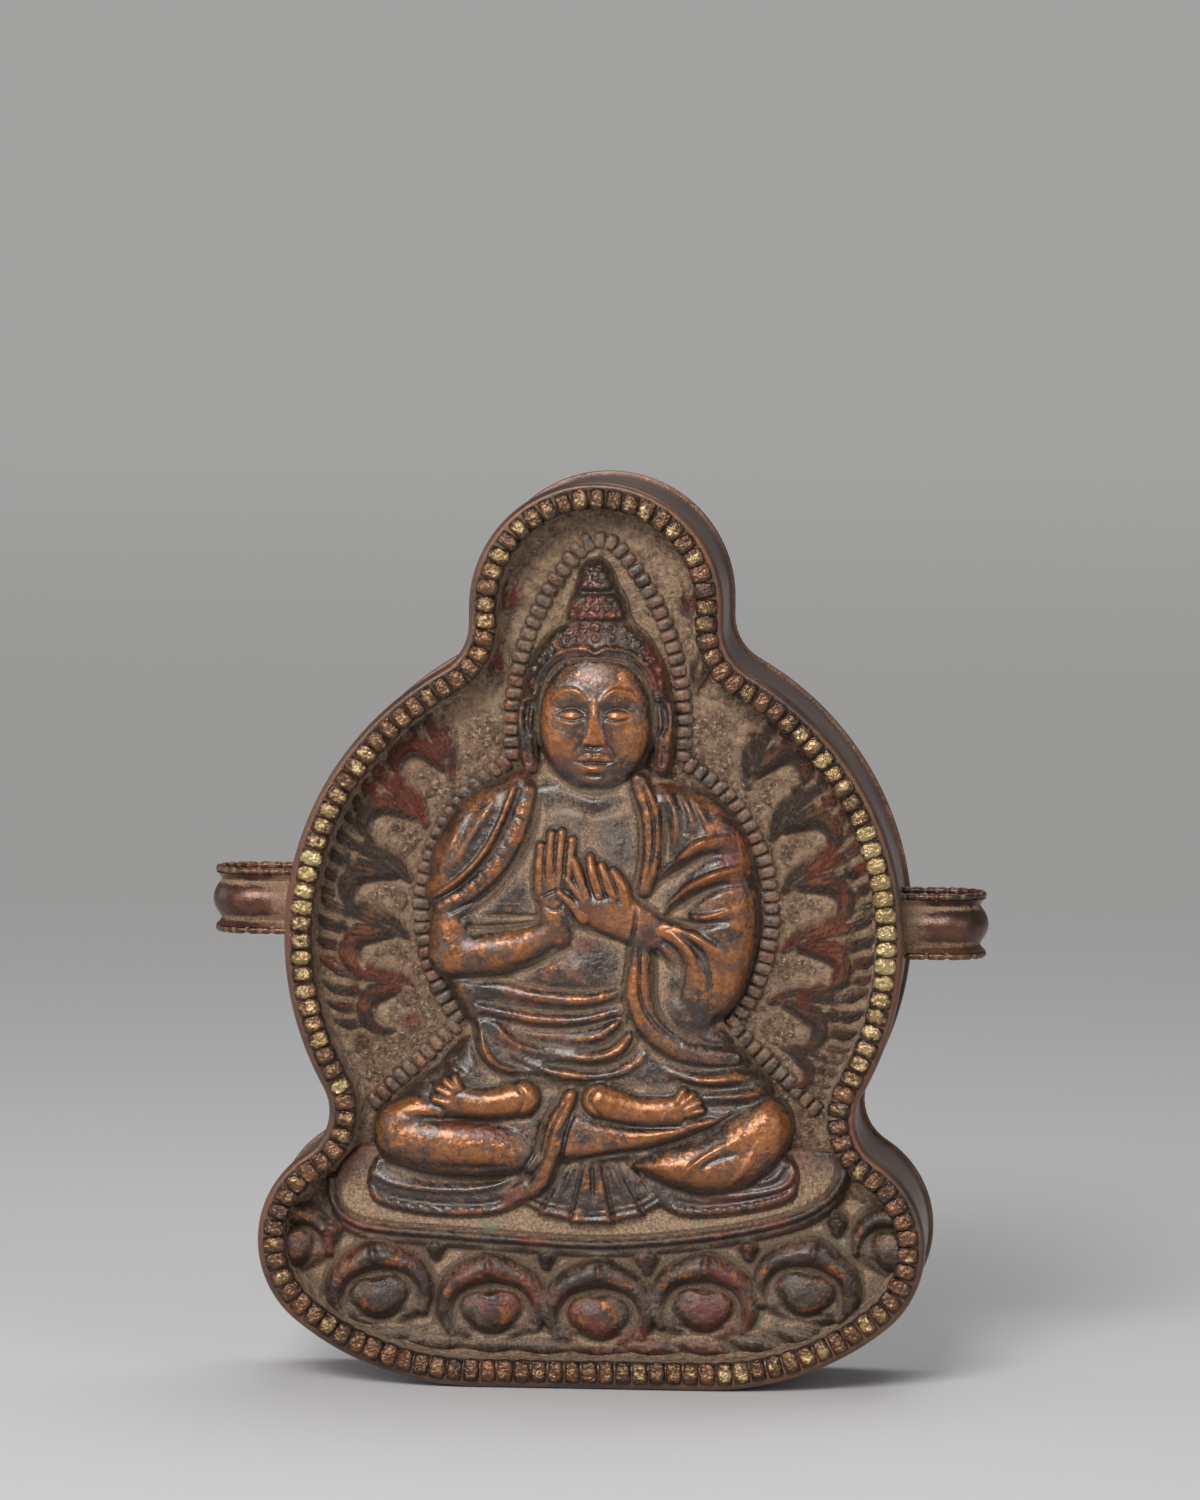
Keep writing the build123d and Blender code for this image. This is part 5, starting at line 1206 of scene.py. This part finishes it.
# a grid raised into the relief, cut to its shape and closed behind
def reliefPiece(name, relief, ground, sink, keep=None):
    pick = np.ix_(*(keep or (range(relief.h.shape[0]), range(relief.h.shape[1]))))
    raised = relief.h[pick]
    rows, columns = raised.shape
    x, z, h = settleEdge(relief.x[pick], relief.z[pick], raised)
    freshStart()
    bpy.ops.mesh.primitive_grid_add(x_subdivisions=columns - 1, y_subdivisions=rows - 1, size=2)
    piece = named(name)
    flat = pointsOf(piece)
    i = np.rint((flat[:, 0] + 1) / 2 * (columns - 1)).astype(int)
    j = np.rint((flat[:, 1] + 1) / 2 * (rows - 1)).astype(int)
    places = np.column_stack([x[j, i], ground - h[j, i], z[j, i]]) * mm
    piece.data.vertices.foreach_set("co", places.ravel())
    cell = piece.data.attributes.new("cell", "INT", "POINT")
    cell.data.foreach_set("value", (j * columns + i).astype(np.int32))
    outside = (raised <= 0)[j, i]
    corners = np.empty(len(piece.data.loops), np.int32)
    piece.data.loops.foreach_get("vertex_index", corners)
    piece.data.vertices.foreach_set("select", np.zeros(len(flat), bool))
    piece.data.edges.foreach_set("select", np.zeros(len(piece.data.edges), bool))
    piece.data.polygons.foreach_set("select", outside[corners.reshape(-1, 4)].all(axis=1))
    bpy.context.tool_settings.mesh_select_mode = (False, False, True)
    bpy.ops.object.mode_set(mode="EDIT")
    bpy.ops.mesh.delete(type="FACE")
    bpy.ops.mesh.select_mode(type="EDGE")
    bpy.ops.mesh.select_all(action="DESELECT")
    bpy.ops.mesh.select_non_manifold(extend=False, use_wire=False, use_boundary=True, use_multi_face=False,
                                     use_non_contiguous=False, use_verts=False)
    bpy.ops.mesh.extrude_edges_move(TRANSFORM_OT_translate={"value": (0, sink * mm, 0)})
    bpy.ops.mesh.fill(use_beauty=False)
    bpy.ops.object.mode_set(mode="OBJECT")
    at = marks(piece, "cell")
    for layer, values in wearOf(relief, wearReach).items():
        paint(piece, layer, values[pick].ravel()[at])
    return piece


def copiesOf(template, name, places):  # copies of a small shape, each with its own mesh, joined into one piece
    made = []
    for x, y, z, turn, wide, long, high in places:
        copy = template.copy()
        copy.data = template.data.copy()
        bpy.context.collection.objects.link(copy)
        p = pointsOf(copy) * (wide, high, long)
        c, s = math.cos(turn), math.sin(turn)
        # the shape's length, its z, lies along the line
        moved = np.column_stack([x * mm - p[:, 0] * s + p[:, 2] * c, y * mm + p[:, 1],
                                 z * mm + p[:, 0] * c + p[:, 2] * s])
        copy.data.vertices.foreach_set("co", moved.ravel())
        made.append(copy)
    piece = joinPieces(made, name)
    bpy.data.objects.remove(template)
    bpy.ops.object.mode_set(mode="EDIT")
    bpy.ops.mesh.select_all(action="SELECT")
    bpy.ops.mesh.normals_make_consistent(inside=False)
    bpy.ops.object.mode_set(mode="OBJECT")
    return piece


def beadShape(name, s):  # a rounded barrel on its seat, built from a divided cube
    freshStart()
    bpy.ops.mesh.primitive_cube_add(size=2 * mm)
    piece = named(name)
    bpy.ops.object.mode_set(mode="EDIT")
    bpy.ops.mesh.select_all(action="SELECT")
    bpy.ops.mesh.subdivide(number_cuts=3)
    bpy.ops.transform.tosphere(value=s["square"])
    bpy.ops.object.mode_set(mode="OBJECT")
    p = pointsOf(piece) / mm
    p = p / np.abs(p).max(axis=0) * (s["wide"], 1, s["long"])
    p[:, 1] = np.where(p[:, 1] > 0.05, 0.15, p[:, 1] * s["high"])  # flat behind, where it sits
    piece.data.vertices.foreach_set("co", (p * mm).ravel())
    away = np.hypot(p[:, 0] / s["wide"], p[:, 2] / s["long"])
    # rubbed on top
    paint(piece, "fine", np.clip(1.25 - 0.95 * away**2 - 0.9 * (p[:, 1] > -0.3 * s["high"]), -1, 1))
    return piece


def rowPlaces(rng, line, s, closed):  # places along a line, each a little off as hand work is
    places = []
    for x, z, turn in evenSteps(line, s["pitch"], closed):
        sway = turn + rng.normal(0, s["sway"])
        places.append((x, s["seat"], z, sway, *(rng.uniform(*span) for span in s["spread"])))
    return places


# dents are waves round the wall as (count, drift along the depth, start, share of the dent)
wallShape = {"outer": 0.5, "inner": 1.1, "front": -11.3, "back": 12.4, "rows": 15, "dent": 0.07, "middle": 0.6,
             "waves": ((9, 0.21, 0, 0.5), (23, -0.33, 1, 0.35), (41, 0.5, 2, 0.2)), "backEdge": 0.5,
             "frontDust": (0.8, 0.4, 0.1)}


def wallProfile(s):  # the outer face from front to back, then the inner face
    depth = np.linspace(s["front"], s["back"], s["rows"])
    close = [(s["inner"], s["back"]), (s["inner"], s["front"]), (s["outer"], s["front"])]
    return depth, [(s["outer"], y) for y in depth] + close


def makeWall(s):
    depth, profile = wallProfile(s)
    loops = ringLoops(profile)
    run = np.arange(len(stations)) / len(stations) * 2 * np.pi
    for k, y in enumerate(depth[1:-1], 1):
        wave = sum(share * np.sin(run * count + y * drift + start) for count, drift, start, share in s["waves"])
        shift = -s["dent"] * (s["middle"] + wave)
        loops[k][:, 0] += stations[:, 2] * shift
        loops[k][:, 2] += stations[:, 3] * shift
    piece = sweepLoops("caseWall", loops, joined=True)
    edge, sunk = np.zeros(len(profile)), np.zeros(len(profile))
    edge[s["rows"] - 1] = s["backEdge"]
    sunk[:3] = s["frontDust"]
    paintRows(piece, edge=edge, sunk=sunk)
    return dress(piece, "wall", "wall_copper", "front_case", "front_wall", smooth=40)


rimShape = {
    "profile": [(3.3, -11.3), (3.3, -11.8), (3.1, -12.05), (2.6, -12.35), (1.6, -12.35), (0.95, -12.36),
                (0.62, -12.4), (0.34, -12.3), (0.12, -12.0), (0.0, -11.5), (0.0, -10.2), (0.03, -9.6),
                (0.14, -9.36), (0.5, -9.3), (0.5, -11.3), (3.3, -11.3)],
    "edge": [0, 0.1, 0.1, 0, 0, 0.2, 0.4, 0.5, 0.4, 0.3, 0.2, 0.5, 0.6, 0.1, 0, 0],
    "sunk": [0.6, 0.5, 0.5, 0.5, 0.5, 0.3, 0.1, 0, 0, 0, 0, 0, 0, 0.5, 1, 0.6],
}


def makeRim(s):
    piece = sweepLoops("rimRoll", ringLoops(s["profile"]), joined=True)
    paintRows(piece, edge=s["edge"], sunk=s["sunk"])
    return dress(piece, "rim", "rim_copper", "front_case", "front_rim", smooth=50)


bezelShape = {
    "profile": [(2.7, -11.35), (3.3, -11.35), (3.3, -10.2), (3.34, -9.0), (3.5, -8.0), (3.8, -7.3), (4.3, -6.85),
                (5.0, -6.6), (5.4, -6.5), (5.4, -6.3), (2.7, -6.3), (2.7, -11.35)],
    "bare": [0.3, 0.3, 0.1, 0, 0, 0, 0, 0, 0, 0, 0, 0.3], "dust": 0.75,
}


def makeBezel(s):
    piece = sweepLoops("bezelCove", ringLoops(s["profile"]), joined=True)
    paintRows(piece, height=s["bare"])
    # packed dust over the whole cove, which also paints light into the rim's shadow
    paintAll(piece, "wide", -s["dust"])
    return dress(piece, "ground", "ground_copper", "front_case", "bezel_band", smooth=50)


# gilt is left on the sides, at the top and at the lower right, as (height, reach, share where x is below the split,
# share above it, split)
beadRow = {"inset": 2.05, "pitch": 2.05, "seat": -11.9, "wide": 1.46, "long": 1.08, "high": 1.08, "square": 0.32,
           "seed": 11, "sway": 0.04, "spread": ((0.93, 1.0), (0.9, 1.0), (0.9, 1.0)), "giltChance": 0.16,
           "gilt": ((58, 20, 0.64, 1.0, 0), (104, 8, 0.35, 0.35, 0), (3, 5, 0.0, 0.2, 2))}


def makeBeads(s):
    rng = np.random.default_rng(s["seed"])
    places = rowPlaces(rng, outline(s["inset"]), s, True)
    template = beadShape("bead", s)
    each = len(template.data.vertices)
    piece = copiesOf(template, "rimBeads", places)
    gilt = []
    for x, y, z, *rest in places:
        left = sum((right if x > split else low) * math.exp(-(((z - height) / reach) ** 2))
                   for height, reach, low, right, split in s["gilt"])
        gilt.append(np.clip(left + rng.normal(0, s["giltChance"]), 0, 1))
    paint(piece, "gilt", np.repeat(gilt, each))
    paint(piece, "tint", np.repeat(rng.uniform(0, 1, len(places)), each))
    return dress(piece, "beads", "bead_brass", "front_case", "bead_border")


# columns and rows are where the panel keeps every point of its sculpt; stand is how far that stands off the plate
panelLevels = {"ground": -6.5, "back": -5.9, "plateInset": 1.15, "edgeInset": 3.05, "dustInset": 5.6,
               "edgeDust": 0.6, "stand": 0.5, "skirt": 0.02, "sink": 0.3, "plateHeight": 0.3,
               "columns": [(-34, -19), (19, 34)], "rows": [(38, 84)]}


def finePoints(relief, grid):  # every point of the sculpt in the grid's columns and rows, every other one elsewhere
    near = lambda v, spans: np.any([(v > low) & (v < high) for low, high in spans], axis=0)
    return tuple(np.flatnonzero(near(v, spans) | (np.arange(len(v)) % 2 == 0))
                 for v, spans in ((relief.z[:, 0], grid["rows"]), (relief.x[0], grid["columns"])))


def makeGround(s):
    relief = sculptGround(groundGrid)
    inside, clear = (within(outline(s[inset]), relief.x, relief.z) for inset in ("edgeInset", "dustInset"))
    relief.h = np.where(inside, relief.h + s["stand"], -1.0)
    # extra dust in a band inside the border, which also paints light into the rim's shadow
    relief.settled += s["edgeDust"] * blur(~clear * 1.0, 1.0 / relief.pitch)
    face = s["ground"] + s["stand"]
    panel = reliefPiece("groundPanel", relief, face, s["skirt"], keep=finePoints(relief, s))
    plateEnds = [(s["plateInset"], face), (s["plateInset"], s["back"])]
    plate = sweepLoops("groundSheet", ringLoops(plateEnds), capped=True)
    paintRows(plate)
    for name in ("fine", "wide", "upper"):
        paintAll(plate, name, 0.0)
    paintAll(plate, "height", s["plateHeight"])
    piece = joinPieces([panel, plate], "groundPanel")
    paint(piece, "height", np.clip((paintedOn(piece, "height") * 2.0 - 0.5) / 1.5, 0, 1))
    return dress(piece, "ground", "ground_copper", "front_case", "ground_plate", smooth=60)


def makeRibs(s):
    places = rowPlaces(np.random.default_rng(s["seed"]), mandorlaLine(s), s, False)
    piece = copiesOf(beadShape("rib", s), "mandorlaRibs", places)
    paint(piece, "wide", paintedOn(piece, "fine") * 0.5)
    paintAll(piece, "upper", 0.0)
    paintAll(piece, "height", 0.2)
    return dress(piece, "ribs", "ground_copper", "front_case", "mandorla_beading")


def makeLotus(s):
    relief = sculptLotus(lotusGrid)
    relief.h = np.where(within(outline(s["edgeInset"]), relief.x, relief.z), relief.h, -1.0)
    piece = reliefPiece("lotusSeat", relief, s["ground"], s["sink"])
    return dress(piece, "lotus", "relief_copper", "front_case", "lotus_base")


def makeFigure(s, grid):
    relief = sculptFigure(grid)
    piece = reliefPiece("seatedFigure", relief, s["ground"], s["sink"], keep=finePoints(relief, grid))
    return dress(piece, "figure", "relief_copper", "front_case", "seated_figure")


# middle is each loop's height, left and right; the strip bulges in its middle and turns out again at its edges
loopShape = {"middle": {-1: 58.0, 1: 56.1}, "turn": 42.25, "root": 36.6, "radius": 3.9, "half": 3.2, "strip": 0.7,
             "steps": 26, "legSteps": 9, "points": 25, "bulge": 0.8, "bulgeHalf": 0.62, "dip": -0.35, "flare": 0.75,
             "flareFrom": 0.7, "wire": 0.46, "wireOut": 0.45, "wireSeat": 0.4, "wireSides": 10, "notch": 0.16,
             "notchPitch": 1.35, "drift": 0.9}


def loopLine(s, side):  # the way round a loop: rows of x, y and the outward direction
    legs = np.linspace(s["root"], s["turn"], s["legSteps"], endpoint=False)
    rows = [(x, s["radius"], 0, 1) for x in legs]
    for a in np.linspace(math.pi / 2, -math.pi / 2, s["steps"]):
        rows.append((s["turn"] + s["radius"] * math.cos(a), s["radius"] * math.sin(a), math.cos(a), math.sin(a)))
    rows += [(x, -s["radius"], 0, -1) for x in legs[::-1]]
    return np.array(rows) * (side, 1, side, 1)


def makeLoop(s, side):
    t = np.linspace(-1, 1, s["points"])
    flare = np.clip((np.abs(t) - s["flareFrom"]) / (1 - s["flareFrom"]), 0, 1) ** 1.5
    swell = s["bulge"] * np.clip(1 - (t / s["bulgeHalf"]) ** 2, s["dip"], 1) + s["flare"] * flare
    section = [(s["strip"] / 2 + b, h * s["half"]) for b, h in zip(swell, t)]
    section += [(b - s["strip"] / 2, h * s["half"]) for b, h in zip(swell[::-1], t[::-1])]
    loops = []
    for x, y, outX, outY in loopLine(s, side):
        loops.append([(x + outX * d, y + outY * d, s["middle"][side] + h) for d, h in section])
    word = "left" if side < 0 else "right"
    piece = sweepLoops(word + "CordLoop", loops, capped=True)
    station, row = marks(piece, "station"), marks(piece, "row")
    high = np.abs(np.array([h for d, h in section])[station] / s["half"])
    roots = np.clip(1.2 - np.minimum(row, len(loops) - 1 - row) / 6, 0, 1)
    grooves = np.clip(1 - np.abs(high - 0.68) / 0.18, 0, 1)
    paint(piece, "edge", np.clip((high - 0.8) * 3, 0, 0.8) + 0.25 * (high < 0.35))
    paint(piece, "sunk", roots * 0.9 + 0.8 * grooves)
    return dress(piece, "loops", "loop_copper", "front_case", word + "_loop", smooth=50)


def makeEdging(s, side):
    line = loopLine(s, side)
    steps = np.arange(len(line) * 4) / 4
    path = np.column_stack([np.interp(steps, np.arange(len(line)), line[:, c]) for c in range(4)])
    run = np.concatenate([[0], np.cumsum(np.hypot(*np.diff(path[:, :2], axis=0).T))])
    drift = s["drift"] * np.sin(run * s["drift"] + side)  # the notches aren't quite evenly spaced
    milled = (0.5 + 0.5 * np.cos(run * 2 * math.pi / s["notchPitch"] + drift)) ** 2
    parts = []
    for end in (-1, 1):
        middle = s["middle"][side] + end * (s["half"] + s["wireSeat"])
        radii = s["wire"] * (1 - s["notch"] * milled * (1.4 + np.sin(run * 2.3 + end)))
        loops = []
        for (x, y, outX, outY), radius in zip(path, radii):
            ring = []
            for a in np.linspace(0, 2 * math.pi, s["wireSides"], endpoint=False):
                d = radius * math.cos(a) + s["wireOut"]
                ring.append((x + outX * d, y + outY * d, middle + radius * math.sin(a)))
            loops.append(ring)
        parts.append(sweepLoops("wire", loops, capped=True))
    word = "left" if side < 0 else "right"
    piece = joinPieces(parts, word + "LoopEdging")
    paintRows(piece, edge=0.5 - milled * 0.6, sunk=milled * 0.5)
    return dress(piece, "loops", "loop_copper", "front_case", word + "_loop_edging", smooth=50)


lidShape = {
    "profile": [(4.0, 12.42), (0.35, 12.4), (0.1, 12.47), (0.0, 12.62), (0.0, 12.78), (0.1, 12.93), (0.35, 13.0),
                (2.0, 13.0), (2.3, 12.94), (2.55, 12.86), (2.8, 12.88)],
    "edge": [0, 0.3, 0.7, 0.8, 0.8, 0.8, 0.6, 0.2, 0.1, 0, 0],
    "sunk": [0.2, 0.4, 0, 0, 0, 0, 0, 0, 0.5, 0.9, 0.6],
}


def makeLid(s):
    piece = sweepLoops("backLid", ringLoops(s["profile"]), capped=True)
    paintRows(piece, edge=s["edge"], sunk=s["sunk"])
    return dress(piece, "cover", "cover_copper", "back_cover", "back_plate", smooth=40)


coverWall = {"outer": 1.3, "inner": 1.8, "front": -5.4, "back": 12.4, "rows": 8, "rubbed": 0.8, "rubbedNext": 0.25,
             "cornerDust": 0.6}


def makeCoverWall(s):
    depth, profile = wallProfile(s)
    piece = sweepLoops("coverWall", ringLoops(profile), joined=True)
    edge, sunk = np.zeros(len(profile)), np.zeros(len(profile))
    edge[[0, -2, -1]] = s["rubbed"]
    edge[1] = s["rubbedNext"]
    sunk[s["rows"]] = s["cornerDust"]
    paintRows(piece, edge=edge, sunk=sunk)
    return dress(piece, "inside", "cover_copper", "back_cover", "back_wall", smooth=40)


scrollShape = {"centre": (4.4, 6.23), "radius": 4.0, "core": 1.1, "length": 24.0, "turns": 5.2, "sheet": 0.16,
               "points": 260, "rows": 7, "tuck": 0.5, "endPoints": 8}


def makeScroll(s):
    t = np.linspace(0, 1, s["points"])
    angle = t * s["turns"] * 2 * math.pi
    radius = s["core"] + (s["radius"] - s["sheet"] / 2 - s["core"]) * t
    outer = np.column_stack([radius * np.cos(angle), radius * np.sin(angle)])
    inner = outer * ((radius - s["sheet"]) / radius)[:, None]
    section = np.vstack([outer, inner[::-1]])
    spread = (np.hypot(*section.T) - s["core"]) / s["radius"]
    last = s["rows"] - 1
    loops = []
    for k, share in enumerate(np.linspace(-0.5, 0.5, s["rows"])):
        x = share * s["length"] * np.ones(len(section))
        if k in (0, last):
            x -= np.sign(share) * s["tuck"] * (1 - spread)  # the inner turns sit a little in
        loops.append(np.column_stack([x, s["centre"][0] + section[:, 0], s["centre"][1] + section[:, 1]]))
    piece = sweepLoops("prayerScroll", loops, capped=True)
    station, row = marks(piece, "station"), marks(piece, "row")
    free = np.minimum(station, len(section) - 1 - station) > s["points"] - s["endPoints"]
    paint(piece, "edge", np.clip(((row == 0) | (row == last)) * 0.8 + free * 0.6, 0, 1))
    return dress(piece, "paper", "scroll_paper", "back_cover", "prayer_scroll", smooth=35)


threadShape = {"radius": 4.2, "thick": 0.21, "turns": 4, "pitch": 0.37, "steps": 44, "sides": 8, "twist": 1.1}


def makeThread(s):
    n = s["turns"] * s["steps"]
    y0, z0 = scrollShape["centre"]
    loops = []
    for k in range(n + 1):
        a = k / s["steps"] * 2 * math.pi
        x = (k / n - 0.5) * s["turns"] * s["pitch"]
        ring = []
        for b in np.linspace(0, 2 * math.pi, s["sides"], endpoint=False):
            out = s["radius"] + s["thick"] * math.cos(b)
            ring.append((x + s["thick"] * math.sin(b), y0 + out * math.cos(a), z0 + out * math.sin(a)))
        loops.append(ring)
    piece = sweepLoops("scrollThread", loops, capped=True)
    station, row = marks(piece, "station"), marks(piece, "row")
    paint(piece, "twist", 0.5 + 0.5 * np.sin(row * s["twist"] + station * 2 * math.pi / s["sides"]))
    return dress(piece, "thread", "thread_fabric", "back_cover", "scroll_thread")


makeWall(wallShape)
makeRim(rimShape)
makeBezel(bezelShape)
makeBeads(beadRow)
makeGround(panelLevels)
makeRibs(ribRow)
makeLotus(panelLevels)
makeFigure(panelLevels, figureGrid)
for side in (-1, 1):
    makeLoop(loopShape, side)
    makeEdging(loopShape, side)
makeLid(lidShape)
makeCoverWall(coverWall)
makeScroll(scrollShape)
makeThread(threadShape)


# the floor turns into an even backdrop with the distance from the box; distances in mm, size and drop in m
stageLook = {"size": 14, "drop": -0.0001, "floor": tone(204, 205, 208), "grain": tone(200, 198, 196),
             "grainSize": 30.0, "grainShare": 0.02, "middle": tone(153, 152, 151), "far": tone(163, 162, 161),
             "room": tone(46, 46, 46), "near": (20.0, 760.0), "beyond": (900.0, 2300.0), "behind": (-100.0, 300.0),
             "squash": (0.6, 1.0, 0.0), "air": (0.84, 0.83, 0.82, 1), "airLight": 0.17}


def makeFloor(s):
    freshStart()
    bpy.ops.mesh.primitive_plane_add(size=s["size"], location=(0, 0, s["drop"]))
    floor = named("studioFloor")
    bpy.ops.object.transform_apply(location=True)
    f = Finish("studio_floor")
    add = f.start.node
    ray = lambda out: add("LightPath", {}, {}, out)
    seen = ray(0) + ray(3) + ray(6)  # by the camera, in metal and through glass
    squashed = add("VectorMath", {"operation": "MULTIPLY"}, {0: f.place, 1: s["squash"]})
    away = add("VectorMath", {"operation": "LENGTH"}, {0: squashed}, 1) * 1000.0
    leave = away.band(*s["near"])
    backdrop = away.band(*s["beyond"]).over(s["middle"], s["far"])
    colour = (f.noise(s["grainSize"], 2) * s["grainShare"]).over(s["floor"], s["grain"])
    plain = add("BsdfPrincipled", {}, {"Base Color": colour, "Roughness": 0.8, "Specular IOR Level": 0.1})
    dim = ray(3) * (0.0 - f.axis(1)).band(*s["behind"])  # the room behind the camera, as metal sees it
    glow = add("Emission", {}, {"Color": dim.over(backdrop, s["room"]), "Strength": 1.0})
    add("OutputMaterial", {}, {"Surface": add("MixShader", {}, {0: leave * seen, 1: plain, 2: glow})})
    floor.data.materials.append(f.material)


def makeWorld(s):
    world = bpy.data.worlds.new("studio")
    bpy.context.scene.world = world
    world.use_nodes = True
    world.node_tree.nodes.clear()
    w = Shade(world.node_tree)
    light = w.node("Background", {}, {"Color": s["air"], "Strength": s["airLight"]})
    grey = w.node("Background", {}, {"Color": s["far"], "Strength": 1.0})
    both = w.node("MixShader", {}, {0: w.node("LightPath", {}, {}, 0), 1: light, 2: grey})
    w.node("OutputWorld", {}, {"Surface": both})


lampTarget = (0, 0, 0.055)
lamps = {
    "key": {"place": (-0.2, -1.03, 0.65), "size": 0.42, "power": 12.5, "colour": (1.0, 0.97, 0.93)},
    "fill": {"place": (0.85, -0.95, 0.42), "size": 0.6, "power": 3.0, "colour": (1.0, 0.99, 0.97)},
    "front": {"place": (-0.8, -1.0, 0.4), "size": 0.6, "power": 3.4, "colour": (1.0, 0.98, 0.95)},
    "top": {"place": (0.15, 0.4, 1.1), "size": 0.7, "power": 4.0, "colour": (1.0, 0.98, 0.96)},
    "left": {"place": (-1.0, 0.15, 0.3), "size": 0.6, "power": 2.0, "colour": (0.97, 0.98, 1.0)},
}


def makeLamps(settings):
    for name, s in settings.items():
        freshStart()
        bpy.ops.object.light_add(type="AREA", location=s["place"])
        lamp = bpy.context.object
        lamp.name = name + "Lamp"
        lamp.data.size, lamp.data.energy, lamp.data.color = s["size"], s["power"], s["colour"]
        lamp.rotation_euler = (Vector(lampTarget) - Vector(s["place"])).to_track_quat("-Z", "Y").to_euler()


cameraView = {"lens": 267.0, "sensor": 36.0, "clip": (0.05, 60), "distance": 1.34, "yaw": 4.0, "pitch": 4.6,
              "roll": 0.5, "aim": (0.0007, -0.013, 0.0777)}


def makeCamera(s):
    freshStart()
    yaw, pitch = math.radians(s["yaw"]), math.radians(s["pitch"])
    back = Vector((math.sin(yaw) * math.cos(pitch), -math.cos(yaw) * math.cos(pitch), math.sin(pitch)))
    bpy.ops.object.camera_add(location=Vector(s["aim"]) + back * s["distance"])
    camera = bpy.context.object
    camera.name = "photoCamera"
    camera.rotation_euler = (-back).to_track_quat("-Z", "Y").to_euler()
    camera.rotation_euler.rotate_axis("Z", math.radians(s["roll"]))
    camera.data.lens, camera.data.sensor_width = s["lens"], s["sensor"]
    camera.data.clip_start, camera.data.clip_end = s["clip"]
    bpy.context.scene.camera = camera


makeFloor(stageLook)
makeWorld(stageLook)
makeLamps(lamps)
makeCamera(cameraView)
bpy.context.scene.view_settings.view_transform = "Standard"
print("stage, lamps and camera made")

print("scene made")
